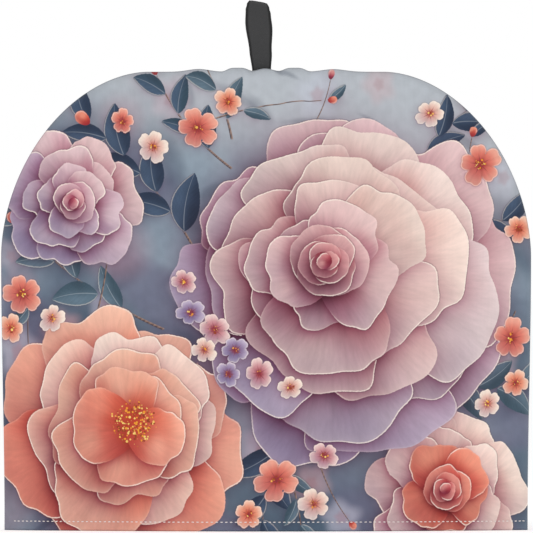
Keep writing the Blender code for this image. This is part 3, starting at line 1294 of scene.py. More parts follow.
    def inner_depth(self, x: Array, h: Array, turn: float) -> Array:
        """Distance of the inner face from the seam plane, one wall in from the outer face and square to it.

        Args:
            x: places across.
            h: heights.
            turn: how far round the turned edge.

        Returns:
            The turned edge, the slot, and the belly less wall ((1 + slopes^2)^0.5 - 1), by central
            differences.
        """
        step = 1 * MM
        across = (self.bulge(x + step, h) - self.bulge(x - step, h)) / (2 * step)
        up = (self.bulge(x, h + step) - self.bulge(x, h - step)) / (2 * step)
        full = self.bulge(x, h) - self.wall * (np.sqrt(1 + across**2 + up**2) - 1)
        standing = self.seam_roll - self.wall + np.maximum(full, 0)
        return self.edge + standing * math.sin(turn) + self.parting(x, self.outline.height - h)

    def flat_place(self, x: Array, h: Array) -> Array:
        """Where a place on the standing panel lies on its flat cloth.

        Args:
            x: places across.
            h: heights.

        Returns:
            Millimetres across and up. Across, it is the length of the parabola from the middle to x. Up, it
            is the height plus half the square of the belly's slope, summed from the hem.
        """
        half, climb, height = self.outline.half_width(h), self.climb(h), self.outline.height
        bend = 2 * self.fullness * (1 - climb**self.taper_power) / half**2 + 1e-6
        across = 0.5 * (x * np.sqrt(1 + (bend * x) ** 2) + np.arcsinh(bend * x) / bend)
        power = 2 * self.taper_power - 1
        gain = 0.5 * (self.fullness * self.taper_power / height) ** 2 * height * climb**power / power
        up = h + gain * (1 - np.clip(np.abs(x) / half, 0, 1) ** 2) ** 2
        return np.stack([across / MM, up / MM, 0 * up], axis=-1)


class Side(Enum):
    """Which panel a piece belongs to, by the way its outer face looks."""

    FRONT = -1
    BACK = 1


@dataclass
class Panel:
    """One cloth panel as a closed shell: a fine outer face, the turned edge, and a plainer inner face."""

    form: PanelForm
    side: Side
    columns: int = 304
    rows: int = 244
    hem_rows: int = 12
    round_rows: int = 4
    hem_reach: float = 9 * MM
    roll_steps: int = 8
    coarse_step: int = 4
    inner_roll_steps: int = 2
    hem_turn: float = 12 * MM

    @property
    def name(self) -> str:
        """The panel's name."""
        return f"{self.side.name.lower()}_panel"

    def ways(self, step: int) -> tuple[Array, Array]:
        """Ways along half the arch.

        Args:
            step: 1, or a larger number to keep only some of them.

        Returns:
            The ways up the side to the middle of the shoulder, with shorter steps in the hem, and the ways
            from there over to the top's middle.
        """
        way = np.linspace(0, 3, 3001)
        length = lengths(np.stack(self.form.outline.half_arch(way, self.form.seam_roll), axis=-1))
        corner = np.interp(1.5, way, length)
        rounding = self.form.hem_round * (1 - np.cos(np.linspace(0, math.pi / 2, self.round_rows + 1)))
        hem = np.linspace(self.form.hem_round, self.hem_reach, self.hem_rows)
        wall = np.linspace(self.hem_reach, corner, self.rows - self.hem_rows - self.round_rows + 2)
        up_side = np.concatenate([rounding, hem[1:], wall[1:]])
        over_top = np.linspace(corner, length[-1], self.columns // 2 + 1)
        return np.interp(up_side, length, way)[::step], np.interp(over_top, length, way)[::step]

    def border(self, inset: float, step: int = 1) -> tuple[Array, Array]:
        """The arch as one line from the left end of the hem to the right one.

        Args:
            inset: distance in from the arch.
            step: 1, or a larger number to keep only some points.

        Returns:
            x and h of each point.
        """
        up_side, over_top = self.ways(step)
        x, h = self.form.outline.half_arch(np.r_[up_side, over_top[1:]], inset)
        return np.r_[-x, x[-2::-1]], np.r_[h, h[-2::-1]]

    def patch(self, step: int = 1) -> tuple[Array, Array]:
        """The grid inside the turned edge: a Coons patch whose hem is straight.

        Each point is the blend of the two sides, plus how far the top lies from the straight line between its
        ends times the share of the way up.

        Args:
            step: 1, or a larger number to keep only some rows and columns.

        Returns:
            x and h of the grid, one row for each line from the hem up.
        """
        line = np.stack(self.border(self.form.seam_roll, step), axis=-1)
        rows = len(self.ways(step)[0])
        left, top, right = line[:rows], line[rows - 1 : len(line) - rows + 1], line[::-1][:rows]
        across = np.linspace(0, 1, len(top))[None, :, None]
        up = lengths(left)
        up = (up / up[-1])[:, None, None]
        sides = left[:, None] * (1 - across) + right[:, None] * across
        points = sides + (top[None] - sides[-1:]) * up
        return points[..., 0], points[..., 1]

    def build(self, printed: Print, finishes: Sequence[Material]) -> None:
        """Args:
            printed: the design on the cloth.
            finishes: the printed face's material and the reverse's.
        """
        form, quarter, step = self.form, math.pi / 2, self.coarse_step
        blocks: list[tuple[Array, Array, Array]] = []

        def add(x: Array, h: Array, depth: Array) -> Array:
            """Keeps a block of points and numbers them."""
            start = sum(len(block[0]) for block in blocks)
            blocks.append((x.ravel(), h.ravel(), depth.ravel()))
            return start + np.arange(x.size).reshape(x.shape)

        def path(grid: Array) -> Array:
            """A grid's numbers up its left side, along its top and down its right side."""
            return np.concatenate([grid[:-1, 0], grid[-1], grid[-2::-1, -1]])

        def seam_line(inset: float, step: int) -> Array:
            """Adds a line in the seam's face."""
            x, h = self.border(inset, step)
            return add(x, h, form.seam_gap / 2 + form.parting(x, form.outline.height - h))

        x, h = self.patch()
        outer = add(x, h, form.depth(x, h))
        rings = [path(outer)]
        for turn in quarter * (1 - np.arange(1, self.roll_steps + 1) / self.roll_steps):
            x, h = self.border(form.seam_roll * (1 - math.cos(turn)))
            rings.append(add(x, h, form.depth(x, h, turn)))
        rings.append(seam_line(0, 1))
        inner_rings = [seam_line(form.wall, step)]
        for turn in np.arange(self.inner_roll_steps) / self.inner_roll_steps * quarter:
            x, h = self.border(form.seam_roll - (form.seam_roll - form.wall) * math.cos(turn), step)
            inner_rings.append(add(x, h, form.inner_depth(x, h, turn)))
        x, h = self.patch(step)
        in_band = np.repeat(h[1:].max(axis=1) < self.hem_turn, h.shape[1] - 1)
        inner = add(x, h, form.inner_depth(x, h, quarter))
        inner_rings.append(path(inner))

        back = self.side is Side.BACK
        fine_hem = np.r_[[ring[0] for ring in rings[:0:-1]], outer[0], [ring[-1] for ring in rings[1:]]]
        coarse_hem = np.r_[
            [ring[0] for ring in inner_rings[:-1]], inner[0], [ring[-1] for ring in inner_rings[-2::-1]]
        ]
        inner_faces = grid_faces(inner, not back)
        printed_faces = [
            grid_faces(outer, back),
            grid_faces(np.array(rings), back),
            zip_faces(rings[-1], inner_rings[0], back),
            zip_faces(fine_hem, coarse_hem, not back),
            inner_faces[in_band],
        ]
        reverse_faces = [grid_faces(np.array(inner_rings), back), inner_faces[~in_band]]

        x, h, depth = (np.concatenate(values) for values in zip(*blocks))
        flat = form.flat_place(x * -self.side.value, h)
        painted = np.concatenate([faces[:, np.r_[:3, faces.shape[1] - 1]] for faces in printed_faces])
        piece = Piece(
            self.name + "_cloth",
            np.stack([x, self.side.value * depth, h + form.lift(x, h)], axis=-1),
            [(faces, 0) for faces in printed_faces] + [(faces, 1) for faces in reverse_faces],
            {"flat": flat, "inset": np.stack([form.outline.nearness(x, h)[0] / MM, 0 * x, 0 * x], axis=-1)},
            printed.paint(flat[:, 0], flat[:, 1], painted).result(),
        )
        obj = piece.build(finishes)
        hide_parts(self.name)
        self.declare(piece.points[outer])

    def declare(self, grid: Array) -> None:
        """States the size that the cloth was cut to: the outer face's, with the turned edge added.

        Args:
            grid: the outer face's points.
        """
        turned_in = self.form.seam_roll * math.pi / 2 + self.form.seam_face
        width = float(np.linalg.norm(np.diff(grid, axis=1), axis=-1).sum(axis=1).max()) + 2 * turned_in
        length = float(lengths(grid[:, grid.shape[1] // 2])[-1]) + turned_in
        first, second = np.diff(grid, axis=1)[:-1], np.diff(grid, axis=0)[:, :-1]
        border = 2 * lengths(grid[:, 0])[-1] + lengths(grid[-1])[-1]
        area = float(np.linalg.norm(np.cross(first, second), axis=-1).sum() + border * turned_in)
        LOG.info("%s: cut %.0f x %.0f mm, %.4f square metres", self.name, width / MM, length / MM, area)


# ---------------------------------------------------------------- finishes


class Graph:
    """A material's nodes. Each call adds nodes, links what is a socket and sets what is a value."""

    def __init__(self, name: str) -> None:
        """Starts a material with its shader.

        Args:
            name: the material's name.
        """
        self.material = bpy.data.materials.new(name)
        self.material.use_nodes = True
        self.tree = self.material.node_tree

    def feed(self, socket: Socket, value: object) -> None:
        """Links a socket to a value, or sets it.

        Args:
            socket: an input.
            value: another node's output, a number, or a colour or vector.
        """
        if isinstance(value, Socket):
            self.tree.links.new(value, socket)
        elif isinstance(value, np.ndarray):
            opaque = [1.0] * (len(socket.default_value) - len(value))
            socket.default_value = value.tolist() + opaque
        else:
            socket.default_value = value

    def add(self, kind: str, inputs: dict[int | str, object], **settings: object) -> bpy.types.Node:
        """Adds a node.

        Args:
            kind: the node's type, without its prefix.
            inputs: values or sockets by input name or number.
            settings: the node's own properties.

        Returns:
            The node.
        """
        node = self.tree.nodes.new("ShaderNode" + kind)
        for key, value in settings.items():
            setattr(node, key, value)
        for key, value in inputs.items():
            self.feed(node.inputs[key], value)
        return node

    def math(self, operation: str, *values: object) -> Socket:
        """The result of a Math node."""
        return self.add("Math", dict(enumerate(values)), operation=operation).outputs[0]

    def times(self, first: object, second: object) -> Socket:
        """The product of two numbers."""
        return self.math("MULTIPLY", first, second)

    def total(self, start: float, *parts: tuple[object, float]) -> Socket:
        """start plus each value times its weight."""
        for value, weight in parts:
            start = self.math("MULTIPLY_ADD", value, weight, start)
        return start

    def ease(self, value: object, low: float, high: float, start: float = 0.0, end: float = 1.0) -> Socket:
        """value eased from start at low to end at high."""
        inputs = {0: value, 1: low, 2: high, 3: start, 4: end}
        return self.add("MapRange", inputs, interpolation_type="SMOOTHSTEP").outputs[0]

    def wave(self, value: object, pitch: float) -> Socket:
        """sin(2 pi value / pitch)."""
        return self.math("SINE", self.times(value, 2 * math.pi / pitch))

    def blend(self, share: object, first: object, second: object) -> Socket:
        """first and second mixed as colours by share."""
        return self.add("Mix", {0: share, 6: first, 7: second}, data_type="RGBA").outputs[2]

    def tone(self, colour: object, factor: object) -> Socket:
        """A colour made lighter or darker by a factor."""
        return self.add("VectorMath", {0: colour, 3: factor}, operation="SCALE").outputs[0]

    def carried(self, name: str, kind: str = "Vector") -> Socket:
        """What the mesh carries under a name."""
        return self.add("Attribute", {}, attribute_name=name).outputs[kind]

    def parts(self, vector: object) -> list[Socket]:
        """The three parts of a vector."""
        return list(self.add("SeparateXYZ", {0: vector}).outputs)

    def noise(self, vector: object, scale: float, detail: float = 2.0) -> Socket:
        """A noise texture's value, about 0.5."""
        return self.add("TexNoise", {"Vector": vector, "Scale": scale, "Detail": detail}).outputs[0]

    def finish(
        self, colour: object, roughness: object, height: object, depth: float, **more: object
    ) -> Material:
        """Feeds the shader.

        Args:
            colour: the base colour.
            roughness: the roughness.
            height: the bump's height, 0 to 1.
            depth: the bump's depth in metres.
            more: sheen_weight, specular_ior_level and so on.

        Returns:
            The material.
        """
        bump = self.add("Bump", {"Strength": 1.0, "Distance": depth, "Height": height}).outputs[0]
        more |= {"base_color": colour, "roughness": roughness, "normal": bump}
        for socket in self.tree.nodes["Principled BSDF"].inputs:
            name = socket.name.lower().replace(" ", "_")
            if name in more:
                self.feed(socket, more[name])
        return self.material


@dataclass(frozen=True)
class Weave:
    """A plain weave: warp and weft threads that pass over each other, a little uneven."""

    pitch: float = 0.62
    wander: float = 0.35

    def height(self, graph: Graph, flat: Socket) -> Socket:
        """The weave's height.

        Args:
            graph: the material's nodes.
            flat: millimetres on the flat cloth.

        Returns:
            0 to 1: the higher of two ridged waves whose crowns change places thread by thread.
        """
        shaken = graph.add("TexNoise", {"Vector": flat, "Scale": 0.35, "Detail": 1.0}).outputs[1]
        shaken = graph.tone(shaken, self.wander)
        moved = graph.add("VectorMath", {0: flat, 1: shaken}, operation="ADD").outputs[0]
        across, up = (graph.wave(part, 2 * self.pitch) for part in graph.parts(moved)[:2])
        crown = graph.times(graph.times(across, up), 0.25)
        warp = graph.math("ADD", graph.math("ABSOLUTE", across), crown)
        weft = graph.math("SUBTRACT", graph.math("ABSOLUTE", up), crown)
        return graph.times(graph.math("MAXIMUM", warp, weft), 0.8)


@dataclass(frozen=True)
class PrintedCloth:
    """The printed face of the cloth: matt, soft, with fine slubs."""

    name: str = "printed_cloth"
    rim_colour: str = "fceee2"
    contour_colour: str = "4a2c3c"
    edge_colour: str = "343442"
    contour: float = 0.5
    streaks: float = 0.3
    edge_shade: float = 0.34
    roughness: float = 0.8
    sheen: float = 0.12
    specular: float = 0.25
    bump: float = 0.12 * MM

    def build(self) -> Material:
        """Makes the material.

        Returns:
            The material, which draws painted edges, rims, lines and stamens from what the mesh carries.
        """
        graph = Graph(self.name)
        flat = graph.carried("flat")
        colour = self.paint(graph, flat)
        cloud, grain, fluff = (graph.noise(flat, scale, 3.0) for scale in (0.045, 0.8, 1.6))
        upright = graph.add("Mapping", {"Vector": flat, "Scale": (0.55, 0.018, 1.0)}).outputs[0]
        slubs = graph.noise(upright, 1.0)
        colour = graph.tone(colour, graph.total(0.86, (cloud, 0.1), (grain, 0.05), (slubs, 0.06)))
        colour = self.darken_edges(graph, colour, flat)
        weave = Weave().height(graph, flat)
        # Painted shade: the weave's hollows a little darker than the threads' crowns.
        colour = graph.tone(colour, graph.total(0.96, (weave, 0.07)))
        height = graph.total(0.0, (weave, 0.55), (fluff, 0.45))
        roughness = graph.total(self.roughness, (fluff, 0.12))
        gloss = {"sheen_weight": self.sheen, "specular_ior_level": self.specular}
        return graph.finish(colour, roughness, height, self.bump, **gloss)

    def paint(self, graph: Graph, flat: Socket) -> Socket:
        """Draws the print.

        Args:
            graph: the material's nodes.
            flat: millimetres on the flat cloth.

        Returns:
            The under colour, then each layer along its slightly shaken edge, with streaks, lines and stamens.
        """
        shake = graph.total(-0.35, (graph.noise(flat, 0.8, 3.0), 0.7))
        colour = graph.carried("print_under", "Color")
        for layer in ("print_over", "print_top"):
            edge, rim, stamens = graph.parts(graph.carried(layer + "_edge"))
            edge = graph.math("ADD", edge, shake)
            outer = graph.times(graph.ease(edge, -0.75, -0.2), self.contour)
            inner = graph.times(graph.ease(edge, 0.0, 0.25), graph.ease(edge, 0.4, 0.9, 1.0, 0.0))
            colour = graph.blend(graph.times(outer, rim), colour, linear(self.contour_colour))
            colour = graph.blend(graph.ease(edge, -0.2, 0.2), colour, graph.carried(layer, "Color"))
            colour = graph.blend(graph.times(inner, rim), colour, linear(self.rim_colour))
        across, along, strength = graph.parts(graph.carried("print_grain"))
        place = graph.add("CombineXYZ", {0: across, 1: along}).outputs[0]
        streaks = graph.times(graph.total(-0.5, (graph.noise(place, 0.9, 4.0), 1.0)), strength)
        colour = graph.tone(colour, graph.total(1.0, (streaks, self.streaks)))
        aside, width, strength = graph.parts(graph.carried("print_line"))
        gap = graph.math("SUBTRACT", graph.math("ABSOLUTE", aside), width)
        share = graph.times(graph.ease(gap, -0.14, 0.16, 1.0, 0.0), strength)
        colour = graph.blend(share, colour, graph.carried("print_ink", "Color"))
        return self.scatter_stamens(graph, colour, flat, stamens)

    def scatter_stamens(self, graph: Graph, colour: Socket, flat: Socket, stamens: Socket) -> Socket:
        """Adds two scatters of small round anthers.

        Args:
            graph: the material's nodes.
            colour: the colour so far.
            flat: millimetres on the flat cloth.
            stamens: how thick they grow.

        Returns:
            The colour with anthers in gold, pale gold and brown.
        """
        for pitch, size, low in ((1.5, 0.42, 0.25), (2.3, 0.36, 0.45)):
            cells = graph.add("TexVoronoi", {"Vector": flat, "Scale": 1 / pitch, "Randomness": 1.0}).outputs
            dot = graph.ease(cells["Distance"], size - 0.1, size + 0.05, 1.0, 0.0)
            pick, pale, brown = graph.parts(cells["Color"])
            shown = graph.ease(graph.math("SUBTRACT", stamens, graph.times(pick, 0.8)), 0.0, 0.1)
            gold = graph.blend(graph.ease(pale, low, 0.9), *linear("ee9e30", "fad678"))
            gold = graph.blend(graph.ease(brown, 0.62, 0.8), gold, linear("964024"))
            colour = graph.blend(graph.times(dot, shown), colour, gold)
        return colour

    def darken_edges(self, graph: Graph, colour: Socket, flat: Socket) -> Socket:
        """Adds the shadow that the pulled-in seam and the turned hem keep along their very edges.

        Args:
            graph: the material's nodes.
            colour: the colour so far.
            flat: millimetres on the flat cloth.

        Returns:
            The colour with the shadow.
        """
        seam = graph.ease(graph.parts(graph.carried("inset"))[0], 0.15, 0.9, self.edge_shade, 0.0)
        hem = graph.ease(graph.parts(flat)[1], 0.3, 1.2, self.edge_shade, 0.0)
        return graph.blend(graph.math("MAXIMUM", seam, hem), colour, linear(self.edge_colour))


@dataclass(frozen=True)
class ReverseCloth:
    """The plain reverse of the cloth: undyed, with a coarser look."""

    name: str = "cloth_reverse"
    colour: str = "e2deda"

    def build(self) -> Material:
        """Makes the material.

        Returns:
            The material: a coarse weave with cloudy patches.
        """
        graph = Graph(self.name)
        flat = graph.carried("flat")
        weave, patches = Weave(pitch=0.9).height(graph, flat), graph.noise(flat, 0.06, 4.0)
        # Cloudy patches, and painted shade: the weave's hollows a little darker than its crowns.
        colour = graph.tone(linear(self.colour), graph.total(0.86, (patches, 0.14), (weave, 0.06)))
        roughness = graph.total(0.85, (patches, 0.1))
        return graph.finish(colour, roughness, weave, 0.2 * MM, sheen_weight=0.2, specular_ior_level=0.2)


@dataclass(frozen=True)
class LoopTape:
    """Charcoal twill tape with firm, darker edges and painted shade where its crown folds over."""

    name: str = "loop_tape"
    colour: str = "3b3b3c"
    # colour of the darker edges and of the painted shade at the folded crown
    edge_colour: str = "1e1e1f"
    half_width: float = 6.5
    rib_pitch: float = 0.9

    def build(self) -> Material:
        """Makes the material.

        Returns:
            The material: slanted twill ribs painted darker in their grooves, darker edges, painted shade
                where the crown folds over, and a little lint.
        """
        graph = Graph(self.name)
        flat = graph.carried("flat")
        along, across, fold = graph.parts(flat)
        slant = graph.math("MULTIPLY_ADD", along, 0.6, across)
        ribs = graph.total(0.5, (graph.wave(slant, self.rib_pitch), 0.5))
        lint, cloud = graph.noise(flat, 1.3, 3.0), graph.noise(flat, 0.12)
        far = graph.times(graph.math("ABSOLUTE", across), 1 / self.half_width)
        # Darker along the tape's edges, and painted shade where its crown folds over.
        dark_edges_and_crown_shade = graph.math("MAXIMUM", graph.ease(far, 0.72, 0.85), graph.ease(fold, 0.2, 0.8))
        colour = graph.blend(dark_edges_and_crown_shade, linear(self.colour), linear(self.edge_colour))
        # Painted shade: the ribs' grooves darker than their crowns, with random lint and cloudy tone.
        colour = graph.tone(colour, graph.total(0.76, (ribs, 0.16), (lint, 0.16), (cloud, 0.12)))
        height, roughness = graph.total(0.0, (lint, 0.3), (ribs, 0.7)), graph.total(0.7, (lint, 0.15))
        return graph.finish(colour, roughness, height, 0.15 * MM, sheen_weight=0.1, specular_ior_level=0.3)


@dataclass(frozen=True)
class Thread:
    """Pale sewing thread with a twist."""

    name: str = "sewing_thread"
    colour: str = "fff6f2"
    ply_pitch: float = 0.5

    def build(self) -> Material:
        """Makes the material.

        Returns:
            The material: slanted plies along each stitch.
        """
        graph = Graph(self.name)
        along, around, _ = graph.parts(graph.carried("flat"))
        slant = graph.total(0.0, (around, 2.0), (along, 2 * math.pi / self.ply_pitch))
        plies = graph.total(0.5, (graph.math("SINE", slant), 0.5))
        # Painted shade: the grooves between the plies darker than their crowns.
        colour = graph.tone(linear(self.colour), graph.total(0.8, (plies, 0.22)))
        return graph.finish(colour, graph.total(0.65, (plies, -0.1)), plies, 0.06 * MM, sheen_weight=0.2)


@dataclass(frozen=True)
class PaleFloor:
    """A plain pale surface that glows a little."""

    name: str = "pale_floor"
    colour: str = "fafafa"
    roughness: float = 0.9
    glow: float = 0.32

    def build(self) -> Material:
        """Makes the material.

        Returns:
            The material, with barely seen unevenness.
        """
        graph = Graph(self.name)
        cloud = graph.noise(graph.add("TexCoord", {}).outputs["Object"], 3.0)
        colour = graph.tone(linear(self.colour), graph.total(0.99, (cloud, 0.01)))
        glow = {"emission_color": WHITE, "emission_strength": self.glow}
        return graph.finish(colour, self.roughness, cloud, 0.0, **glow)


# ---------------------------------------------------------------- the loop, the stitches and the studio


@dataclass
class HangingLoop:
    """The tape: its feet side by side in the seam, its legs apart in a teardrop, its crown folded over."""

    seam_height: float
    reach: float = 41.2 * MM
    thickness: float = 1.1 * MM
    tuck: float = 4.5 * MM
    foot_x: float = -2.55 * MM
    lean: float = -2.15 * MM
    belly: float = 8.5 * MM
    belly_power: float = 1.5
    leg_offset: float = 0.72 * MM
    tilt: float = math.radians(10)
    crown_droop: float = 0.35 * MM
    crown_power: float = 8
    curl_power: float = 4
    steps: int = 220
    strips: int = 22
    edge_steps: int = 6
    flat_half_width: float = 6.5 * MM
    cut_width: float = 13.8 * MM
    dip: float = 0.16
    dip_place: float = 0.8
    dip_spread: float = 0.07
    # share of the route, each side of the crown, over which the painted shade there fades
    crown_shade_share: float = 0.06
    half_widths: tuple[Place, ...] = (
        (-4.5 * MM, 5.5 * MM),
        (0 * MM, 5.5 * MM),
        (12 * MM, 6.6 * MM),
        (27 * MM, 8.0 * MM),
        (35 * MM, 7.5 * MM),
        (38.5 * MM, 6.7 * MM),
        (41.5 * MM, 5.2 * MM),
    )

    def half_width(self, above: Array) -> Array:
        """Half the tape's width.

        Args:
            above: heights above the seam.

        Returns:
            The half width at each height, eased from one row of the table to the next.
        """
        heights, widths = np.array(self.half_widths).T
        row = np.clip(np.searchsorted(heights, above, side="left") - 1, 0, len(heights) - 2)
        share = smooth_step((above - heights[row]) / (heights[row + 1] - heights[row]))
        return widths[row] + (widths[row + 1] - widths[row]) * share

    def middle_surface(self, along: Array, across: Array) -> Array:
        """Points of the tape's middle surface.

        Args:
            along: 0 at one foot, 1 at the other.
            across: -1 to 1 from edge to edge.

        Returns:
            The points: the tape climbs as (1 - cos t) / 2, its legs part as sin t times a power of the climb,
            and its crown leans, tilts and curls down at its edges.
        """
        turn = along * 2 * math.pi
        climb = (1 - np.cos(turn)) / 2
        above = -self.tuck + (self.reach - self.thickness / 2 + self.tuck) * climb
        share = smooth_step(climb)
        offset = across * self.half_width(above)
        x = self.foot_x + self.lean * share + offset * np.cos(self.tilt * share)
        y = -self.leg_offset * np.cos(turn / 2) - self.belly * np.sin(turn) * climb**self.belly_power
        curl = self.crown_droop * climb**self.crown_power * np.abs(across) ** self.curl_power
        z = self.seam_height + above - offset * np.sin(self.tilt * share) - curl
        return np.stack(np.broadcast_arrays(x, y, z), axis=-1)

    def build(self, tape: Material) -> None:
        """Makes the tape: a flat section with rounded, firmer edges carried along its route.

        Args:
            tape: the tape's material.
        """
        along = np.linspace(0, 1, self.steps + 1)[:, None]
        bulge = self.thickness / 2 / self.flat_half_width
        face = np.linspace(-1, 1, self.strips + 1) * (1 - bulge)
        curve = np.linspace(-math.pi / 2, math.pi / 2, self.edge_steps + 1)[1:-1]
        rim = 1 - bulge + bulge * np.cos(curve)
        across = np.r_[face, rim, -face, -rim]
        up = np.r_[np.full(len(face), -1.0), np.sin(curve), np.full(len(face), 1.0), -np.sin(curve)]
        up = up * (1 - self.dip * bell(np.abs(across) - self.dip_place, self.dip_spread))
        middle, step = self.middle_surface(along, across), 1e-4
        before, after = np.clip(along - step, 0, 1), np.clip(along + step, 0, 1)
        run = self.middle_surface(after, across) - self.middle_surface(before, across)
        side = self.middle_surface(along, across + step) - self.middle_surface(along, across - step)
        normal = np.cross(side, run)
        normal /= np.linalg.norm(normal, axis=-1, keepdims=True)
        points = middle + normal * (up * self.thickness / 2)[:, None]
        ring = np.arange(points[..., 0].size).reshape(points.shape[:2])
        run_length = np.r_[0, np.cumsum(np.linalg.norm(np.diff(middle, axis=0), axis=-1).mean(axis=1))]
        # The mask of the painted shade at the folded crown, carried to the tape's material.
        fold = smooth_step(1 - np.abs(along - 0.5) / self.crown_shade_share)
        flat = np.broadcast_arrays(run_length[:, None] / MM, across * self.flat_half_width / MM, fold)
        ends = [(end[None, :], 0) for end in (ring[0], ring[-1][::-1])]
        obj = Piece(
            "hanging_loop_tape",
            points.reshape(-1, 3),
            [(grid_faces(np.c_[ring, ring[:, 0]], True), 0), *ends],
            {"flat": np.stack(flat, axis=-1).reshape(-1, 3)},
        ).build([tape])
        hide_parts("hanging_loop")


@dataclass
class HemStitching:
    """Straight stitches that hold the hem, all round, as one mesh; rise and sink are shares of the radius."""

    form: PanelForm
    pitch: float = 2.8 * MM
    half_length: float = 0.88 * MM
    radius: float = 0.3 * MM
    stray: float = 0.05 * MM
    start_margin: float = 5 * MM
    end_margin: float = 1.3 * MM
    rise: float = 0.55
    sink: float = 0.55
    bow_power: float = 0.7
    taper_power: float = 3
    least_section: float = 0.02
    line_points: int = 4001
    rings: int = 7
    sides: int = 8
    seed: int = 3

    def row(self, side: Side, draw: Random) -> tuple[Array, Array]:
        """The stitches along one panel: each is a tube that rises from the cloth and sinks back into it.

        Args:
            side: the panel.
            draw: the stitching's random numbers.

        Returns:
            Each stitch's points, ring by ring and then its two ends, and where they lie along and round the
            thread.
        """
        reach = float(self.form.outline.half_width(np.array(self.form.stitch_line)))
        x = np.linspace(self.start_margin - reach, reach - self.end_margin, self.line_points)
        h = np.full(len(x), self.form.stitch_line)
        line = np.stack([x, side.value * self.form.depth(x, h, self.form.turn_at(x, h)), h], axis=-1)
        length = lengths(line)
        count = int(length[-1] / self.pitch)
        middle = (np.arange(count) + 0.5) * length[-1] / count + draw.normal(0, self.stray, count)
        t = np.linspace(-1, 1, self.rings)
        stations = middle[:, None] + t * self.half_length
        run = np.gradient(line, axis=0)
        out = np.stack([run[:, 1], -run[:, 0], 0 * x], axis=-1)
        out *= np.sign(out[:, 1:2]) * side.value / np.linalg.norm(out, axis=-1, keepdims=True)
        centre, out = (
            np.stack([np.interp(stations, length, values[:, axis]) for axis in range(3)], axis=-1)
            for values in (line, out)
        )
        bow = (self.rise + self.sink) * np.cos(t * math.pi / 2) ** self.bow_power - self.sink
        centre = centre + out * (self.radius * bow)[:, None]
        centre[..., 2] += draw.normal(0, self.stray, (count, 1)) * t
        section = np.clip(1 - np.abs(t) ** self.taper_power, self.least_section, 1)
        thick = self.radius * np.sqrt(section)
        around = np.arange(self.sides) / self.sides * 2 * math.pi
        upward = np.array([0, 0, side.value])
        ring = out[:, :, None] * np.cos(around)[:, None] + upward * np.sin(around)[:, None]
        tube = centre[:, :, None] + ring * thick[:, None, None]
        flat = np.stack(np.broadcast_arrays(stations[:, :, None] / MM, around, 0.0), axis=-1)
        ends = np.stack(np.broadcast_arrays(stations[:, [0, -1]] / MM, 0.0, 0.0), axis=-1)
        points = np.concatenate([tube.reshape(count, -1, 3), centre[:, [0, -1]]], axis=1)
        return points, np.concatenate([flat.reshape(count, -1, 3), ends], axis=1)

    def build(self, thread: Material) -> None:
        """Makes the stitches.

        Args:
            thread: the thread's material.
        """
        draw = np.random.default_rng(self.seed)
        points, flat = (np.concatenate(rows) for rows in zip(*(self.row(side, draw) for side in Side)))
        tube = np.arange(self.rings * self.sides).reshape(self.rings, self.sides)
        closed = np.c_[tube, tube[:, 0]]
        first, last = np.full(self.sides, tube.size), np.full(self.sides, tube.size + 1)
        caps = np.r_[
            np.stack([closed[0, :-1], first, closed[0, 1:]], axis=-1),
            np.stack([closed[-1, 1:], last, closed[-1, :-1]], axis=-1),
        ]
        start = (np.arange(len(points)) * points.shape[1])[:, None, None]
        faces = [((each + start).reshape(-1, each.shape[-1]), 0) for each in (grid_faces(closed), caps)]
        LOG.info("hem stitching: %d stitches", len(points))
        Piece("hem_stitching", points.reshape(-1, 3), faces, {"flat": flat.reshape(-1, 3)}).build([thread])


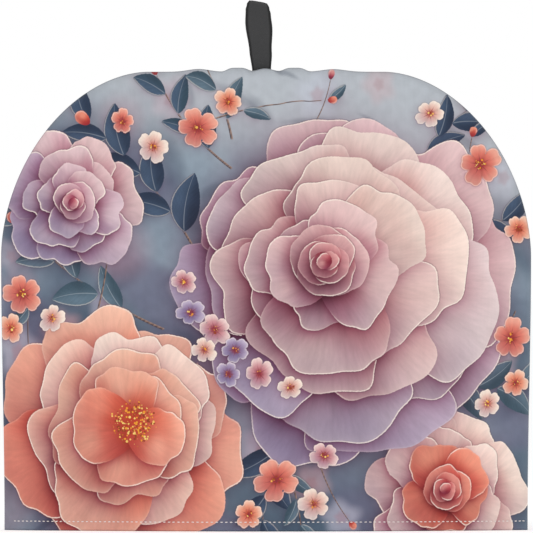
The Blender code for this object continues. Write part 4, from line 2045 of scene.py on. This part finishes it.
@dataclass
class Studio:
    """The pale floor, the lights and the camera."""

    picture_width: float = 311.8 * MM
    lens: float = 1000.0
    sensor: float = 36.0
    aim_x: float = 0.25 * MM
    aim_z: float = 154.1 * MM
    floor_reach: float = 60.0
    white_seen: float = 1.0
    white_lighting: float = 0.68

    def build(self) -> None:
        """Makes the floor, the world, the lights and the camera."""
        scene = bpy.context.scene
        scene.view_settings.view_transform = "Standard"
        self.floor()
        self.world()
        self.light("key_light", place=(-1.6, -2.6, 2.4), size=2.0, power=21.0)
        self.light("fill_light", place=(2.2, -2.4, 1.2), size=2.4, power=9.0)
        data = bpy.data.cameras.new("camera")
        data.lens, data.sensor_width, data.clip_end = self.lens, self.sensor, 100.0
        camera = self.link("camera", data)
        camera.location = (self.aim_x, -self.picture_width * self.lens / self.sensor, self.aim_z)
        camera.rotation_euler = (math.pi / 2, 0, 0)
        scene.camera = camera

    def link(self, name: str, data: bpy.types.ID) -> bpy.types.Object:
        """Puts a new object with some data into the scene."""
        obj = bpy.data.objects.new(name, data)
        bpy.context.scene.collection.objects.link(obj)
        return obj

    def floor(self) -> None:
        """Makes the floor, just under the hem."""
        mesh = bpy.data.meshes.new("floor")
        reach = self.floor_reach
        places = [(-reach, -reach, 0), (reach, -reach, 0), (reach, reach, 0), (-reach, reach, 0)]
        mesh.from_pydata(places, [], [(0, 1, 2, 3)])
        mesh.materials.append(PaleFloor().build())
        self.link("floor", mesh)

    def world(self) -> None:
        """Makes an even white world, seen at full white and lighting a little less."""
        world = bpy.data.worlds.new("white_room")
        world.use_nodes = True
        nodes, links = world.node_tree.nodes, world.node_tree.links
        lighting, seen = nodes["Background"], nodes.new("ShaderNodeBackground")
        for background, strength in ((lighting, self.white_lighting), (seen, self.white_seen)):
            background.inputs[0].default_value = (1, 1, 1, 1)
            background.inputs[1].default_value = strength
        path, blend = nodes.new("ShaderNodeLightPath"), nodes.new("ShaderNodeMixShader")
        links.new(path.outputs["Is Camera Ray"], blend.inputs[0])
        links.new(lighting.outputs[0], blend.inputs[1])
        links.new(seen.outputs[0], blend.inputs[2])
        links.new(blend.outputs[0], nodes["World Output"].inputs[0])
        bpy.context.scene.world = world

    def light(self, name: str, place: tuple[float, float, float], size: float, power: float) -> None:
        """Makes a soft square light that looks at the cosy's middle.

        Args:
            name: its name.
            place: where it hangs.
            size: its side.
            power: its power in watts.
        """
        data = bpy.data.lights.new(name, "AREA")
        data.size, data.energy = size, power
        lamp = self.link(name, data)
        lamp.location = place
        aim = Vector((0, 0, self.aim_z)) - Vector(place)
        lamp.rotation_euler = aim.to_track_quat("-Z", "Y").to_euler()


def corners(box: tuple[Vector, Vector]) -> list[list[float]]:
    """A box's two corners as plain lists."""
    return [list(corner) for corner in box]


def main() -> None:
    """Builds the cosy's looks round its solids and sets the studio."""
    logging.basicConfig(level=logging.INFO, format="%(name)s: %(message)s")
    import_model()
    panel_low, panel_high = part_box("front_panel")
    outline = Outline(height=268 * MM, widest_half_width=panel_high.x)
    form = PanelForm(outline, half_depth=-panel_low.y)
    finishes = [PrintedCloth().build(), ReverseCloth().build()]
    for side in Side:
        Panel(form, side).build(Print(), finishes)
    HangingLoop(outline.height).build(LoopTape().build())
    HemStitching(form).build(Thread().build())
    Studio().build()


if __name__ == "__main__":
    main()
